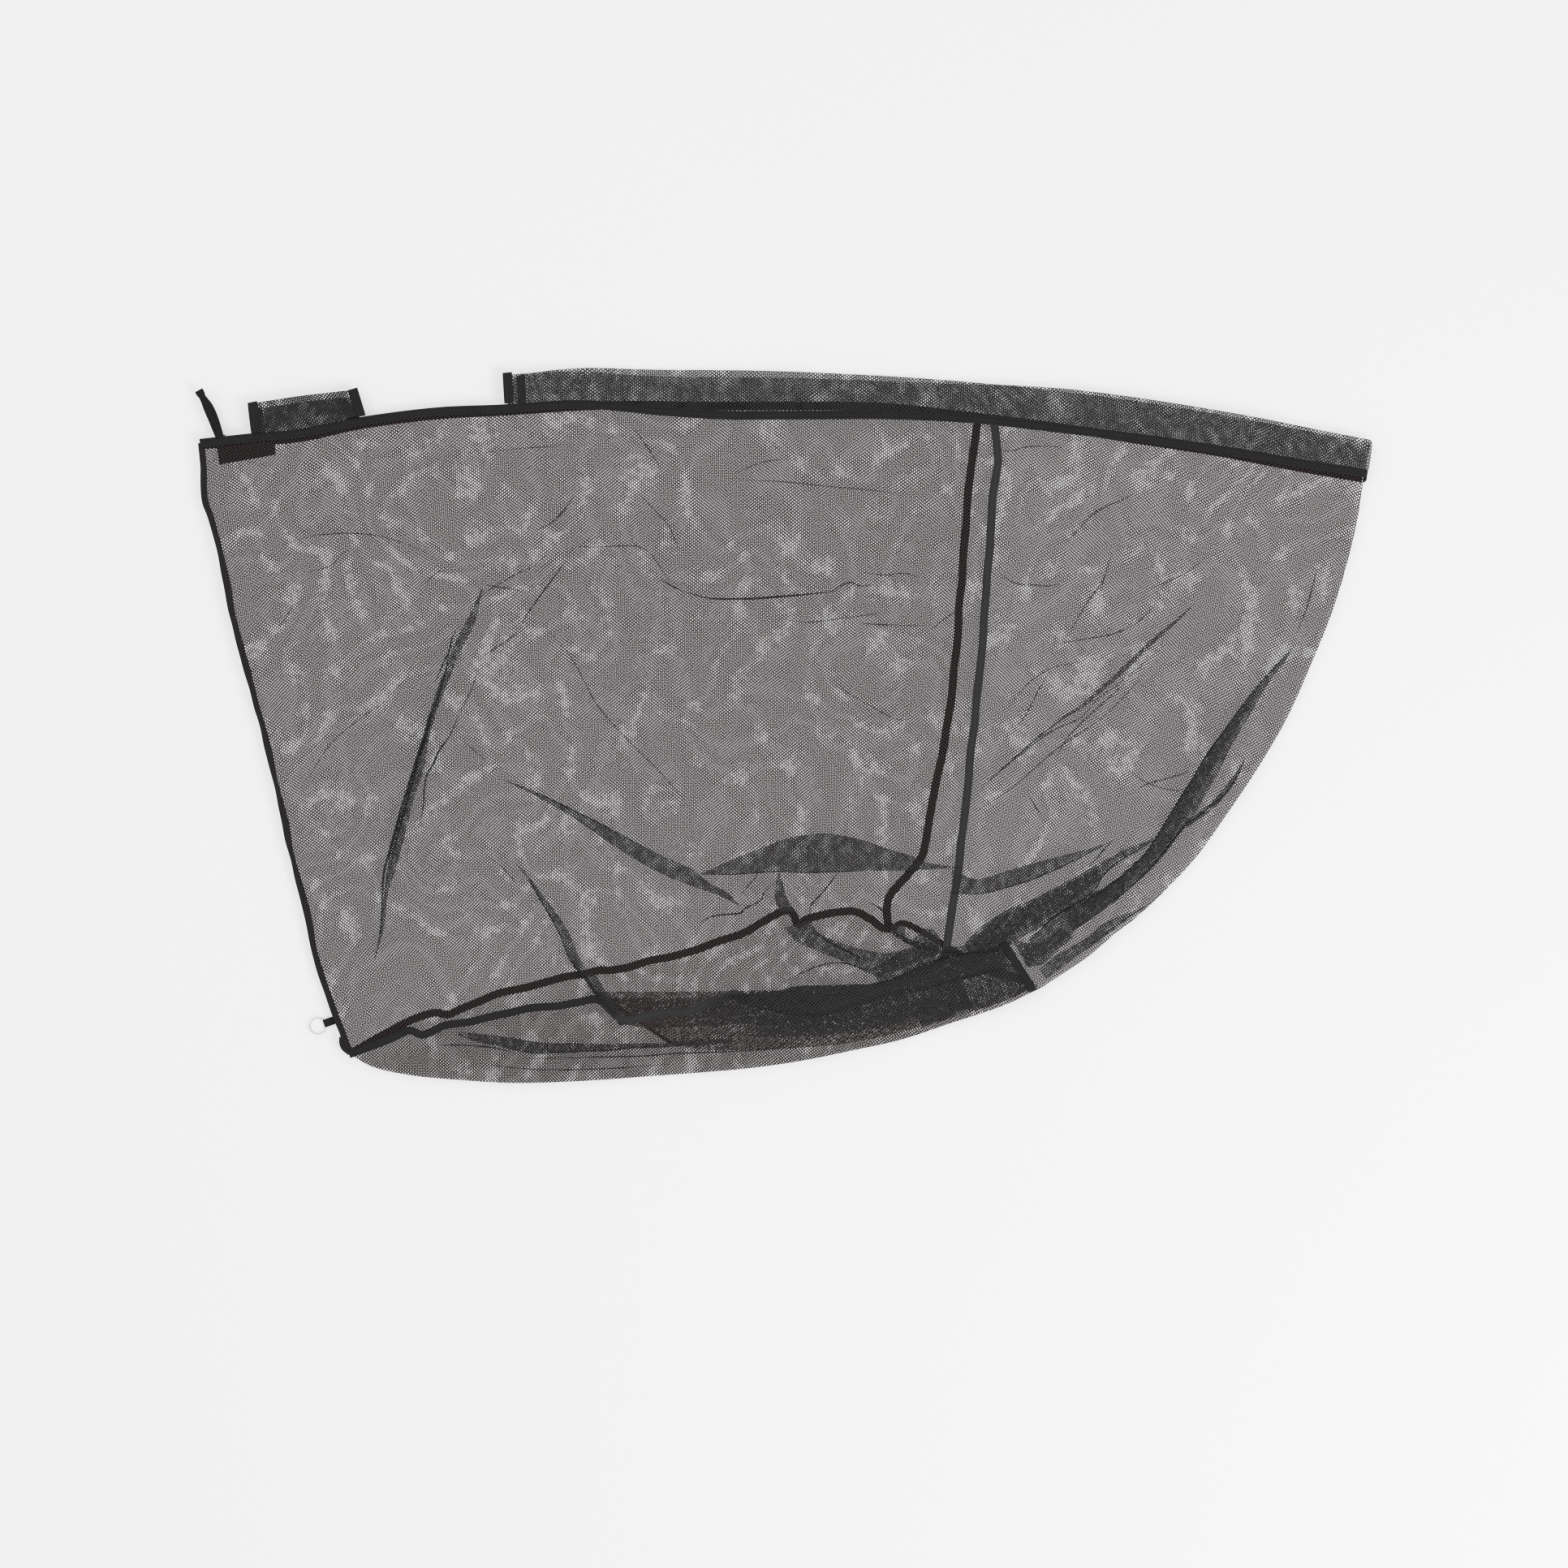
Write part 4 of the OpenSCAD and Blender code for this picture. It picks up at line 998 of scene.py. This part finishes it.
def patch(name, node, bristle, seed):
    """A pad of hook or loop tape with a rough face, a flat back and rounded sides."""
    low, high = (corner_z[2] / MM for corner_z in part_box(node))
    cols, rows = ((90, 30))
    u, v = np.linspace(0, 1, cols)[None, :, None], np.linspace(0, 1, rows)[:, None, None]
    a, b, c, d = pairs(PATCH_CORNERS)
    flat = (1 - v) * ((1 - u) * a + u * b) + v * ((1 - u) * d + u * c)
    x, y = flat[..., 0], flat[..., 1]
    rough = waves(seed, 2.6)(x, y) * 0.5 + waves(seed + 1, 1.7)(x, y) * 0.5
    rim = np.minimum(np.minimum(u, 1 - u)[..., 0] * 64, np.minimum(v, 1 - v)[..., 0] * 18)
    edge = np.clip(rim / 0.9, 0, 1) ** 0.5 * np.ones_like(x)
    mid = (low + high) / 2
    top = mid + (high - mid - 0.25) * edge + bristle * rough * edge
    under = mid - (mid - low) * edge
    faces = [(np.dstack([flat, z])[::way], flat[::way]) for z, way in ((top, 1), (under, -1))]
    made = mesh_piece(name, faces, PATCH)
    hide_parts(node)


patch("hook_pad", "hook_patch", 0.22, 701)
patch("loop_pad", "loop_patch", 0.16, 711)

# The pull loop: one tape folded back on itself, its fold left as a small open eye.
LOOP_LINE = [-626, 320.5, -630, 332, -634.5, 344, -640, 356, -645.5, 365.5, -648.5, 371]
LOOP_WIDTHS = [(0, 9.0), (0.25, 10.6), (0.5, 11.4), (0.66, 10.8), (0.8, 8.2), (0.88, 7.0),
               (0.95, 8.8), (1.0, 9.0)]       # (share of the loop's length, width in mm)
loop_z = sum(corner_z[2] for corner_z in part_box("pull_loop")) / 2 / MM
line = curve(LOOP_LINE, 60)
share = lengths(line) / lengths(line)[-1]
open_by = 0.62 + 0.75 * np.clip((share - 0.84) / 0.1, 0, 1) ** 1.5
side = -normals(line)
top_ply = np.concatenate([line, (loop_z + open_by)[:, None]], axis=1)
low_ply = np.concatenate([line, (loop_z - open_by)[:, None]], axis=1)[::-1]
tip_way = (line[-1] - line[-4]) / np.linalg.norm(line[-1] - line[-4])
eye = turn_over(top_ply[-1:], low_ply[:1], tip_way, 9)[:, 0]
path = np.vstack([top_ply, eye, low_ply])
sides = np.vstack([side, np.repeat(side[-1:], len(eye), 0), side[::-1]])
width = np.interp(share, *zip(*LOOP_WIDTHS))
widths = np.concatenate([width, np.full(len(eye), width[-1]), width[::-1]])
pull_loop = mesh_piece("pull_loop_tape", [strap(path, sides, widths, 0.85)], LOOP_TAPE)
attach(pull_loop, "pull_loop")
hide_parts("pull_loop")

low, high = (np.array(corner_z) / MM for corner_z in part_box("pull_loop_tack"))
middle = (low + high) / 2
tack_way = np.array([math.cos(math.radians(4.6)), math.sin(math.radians(4.6)), 0.0])
tack_side = np.array([-tack_way[1], tack_way[0], 0.0])
tack = []
for k in np.linspace(-5.4, 5.4, 15):
    at = middle + k * tack_way + [0, 0, 0.25]
    tack.append(bar(at - 1.5 * tack_side, at + 1.5 * tack_side, 0.34))
for k in (-0.8, 0.8):
    at = middle + k * tack_side
    tack.append(bar(at - 5.8 * tack_way, at + 5.8 * tack_way, 0.4))
tack = mesh_piece("pull_loop_bar_tack", tack, THREAD)
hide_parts("pull_loop_tack")

# The tab that holds the clear ring: tape from the mouth, round the wire and back.
ring_joint = next(j for j in frame["joints"] if j["name"] == "ring_swing")
wire = np.array(ring_joint["pos_m"]) / MM
tab_side = np.array(ring_joint["axis"][:2])
tab_out = np.array([-tab_side[1], tab_side[0]])
TAB_REACH, TAB_ROUND = 10.5, 1.55
turn = np.linspace(np.pi / 2, -np.pi / 2, 11)
inward = np.linspace(TAB_REACH, 0.6, 10)


def from_wire(out, up):
    """The point that lies out mm from the wire along the tab, and up mm above it."""
    return np.array([*(wire[:2] + out * tab_out), wire[2] + up])


path = np.array(
    [from_wire(-d, TAB_ROUND * (1 - 0.35 * d / TAB_REACH)) for d in inward]
    + [from_wire(TAB_ROUND * math.cos(a), TAB_ROUND * math.sin(a)) for a in turn]
    + [from_wire(-d, -TAB_ROUND * (1 - 0.5 * d / TAB_REACH)) for d in inward[::-1]])
tab = mesh_piece("ring_tab_tape",
                 [strap(path, np.repeat(-tab_side[None], len(path), 0), 8.6, 0.8)], TAPE)
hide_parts("ring_tab")
for k in (-2.6, 0.0, 2.6):
    at = np.array([*(wire[:2] - 3.4 * tab_out + k * tab_side), wire[2] + TAB_ROUND * 0.83 + 0.45])
    stitches.append(bar(at - [*(1.1 * tab_side), 0], at + [*(1.1 * tab_side), 0], 0.3))

seam_thread = mesh_piece("seam_stitching", stitches, THREAD)

ring = frame["nodes"]["clear_ring"]
for k in range(len(ring.data.materials)):
    ring.data.materials[k] = CLEAR

# ---- Stage, light and camera ----
HALF = 6.0             # half the floor's side in m
stage_mesh = bpy.data.meshes.new("floor_plane")
stage_mesh.from_pydata([(-HALF, -HALF, 0), (HALF, -HALF, 0), (HALF, HALF, 0), (-HALF, HALF, 0)],
                       [], [(0, 1, 2, 3)])
ground = put_in_scene(bpy.data.objects.new("floor_plane", stage_mesh))
ground.location = (0, 0, -0.0006)
n = Nodes("pale_floor")
n.set({"Base Color": (0.36, 0.36, 0.36, 1), "Emission Color": (1, 1, 1, 1),
       "Emission Strength": 0.575})
n.dull(0.9, 0.1)
stage_mesh.materials.append(n.material)


def lamp(name, place, size, power):
    data = bpy.data.lights.new(name, "AREA")
    data.shape, data.size, data.energy = "SQUARE", size, power
    made = put_in_scene(bpy.data.objects.new(name, data))
    made.location = place
    made.rotation_euler = (-Vector(place)).to_track_quat("-Z", "Y").to_euler()


lamp("key_light", (2.2, -1.6, 2.6), 1.6, 40.0)
lamp("fill_light", (-2.4, 1.8, 3.0), 2.4, 20.0)
world = bpy.data.worlds.new("studio")
world.use_nodes = True
sky = world.node_tree.nodes["Background"]
sky.inputs["Color"].default_value = (1, 1, 1, 1)
sky.inputs["Strength"].default_value = 0.62

LENS, SENSOR = 85.0, 36.0      # mm
VIEW_W = 1.7388                # width of the floor that the photo shows, in m
camera_data = bpy.data.cameras.new("camera")
camera_data.lens, camera_data.sensor_width = LENS, SENSOR
camera = put_in_scene(bpy.data.objects.new("camera", camera_data))
camera.location = (-0.002, -0.063, VIEW_W * LENS / SENSOR)
scene = bpy.context.scene
scene.world, scene.camera = world, camera
scene.view_settings.view_transform = "Standard"
scene.cycles.transparent_max_bounces = 24
scene.cycles.use_denoising = False
scene.cycles.filter_width = 1.1
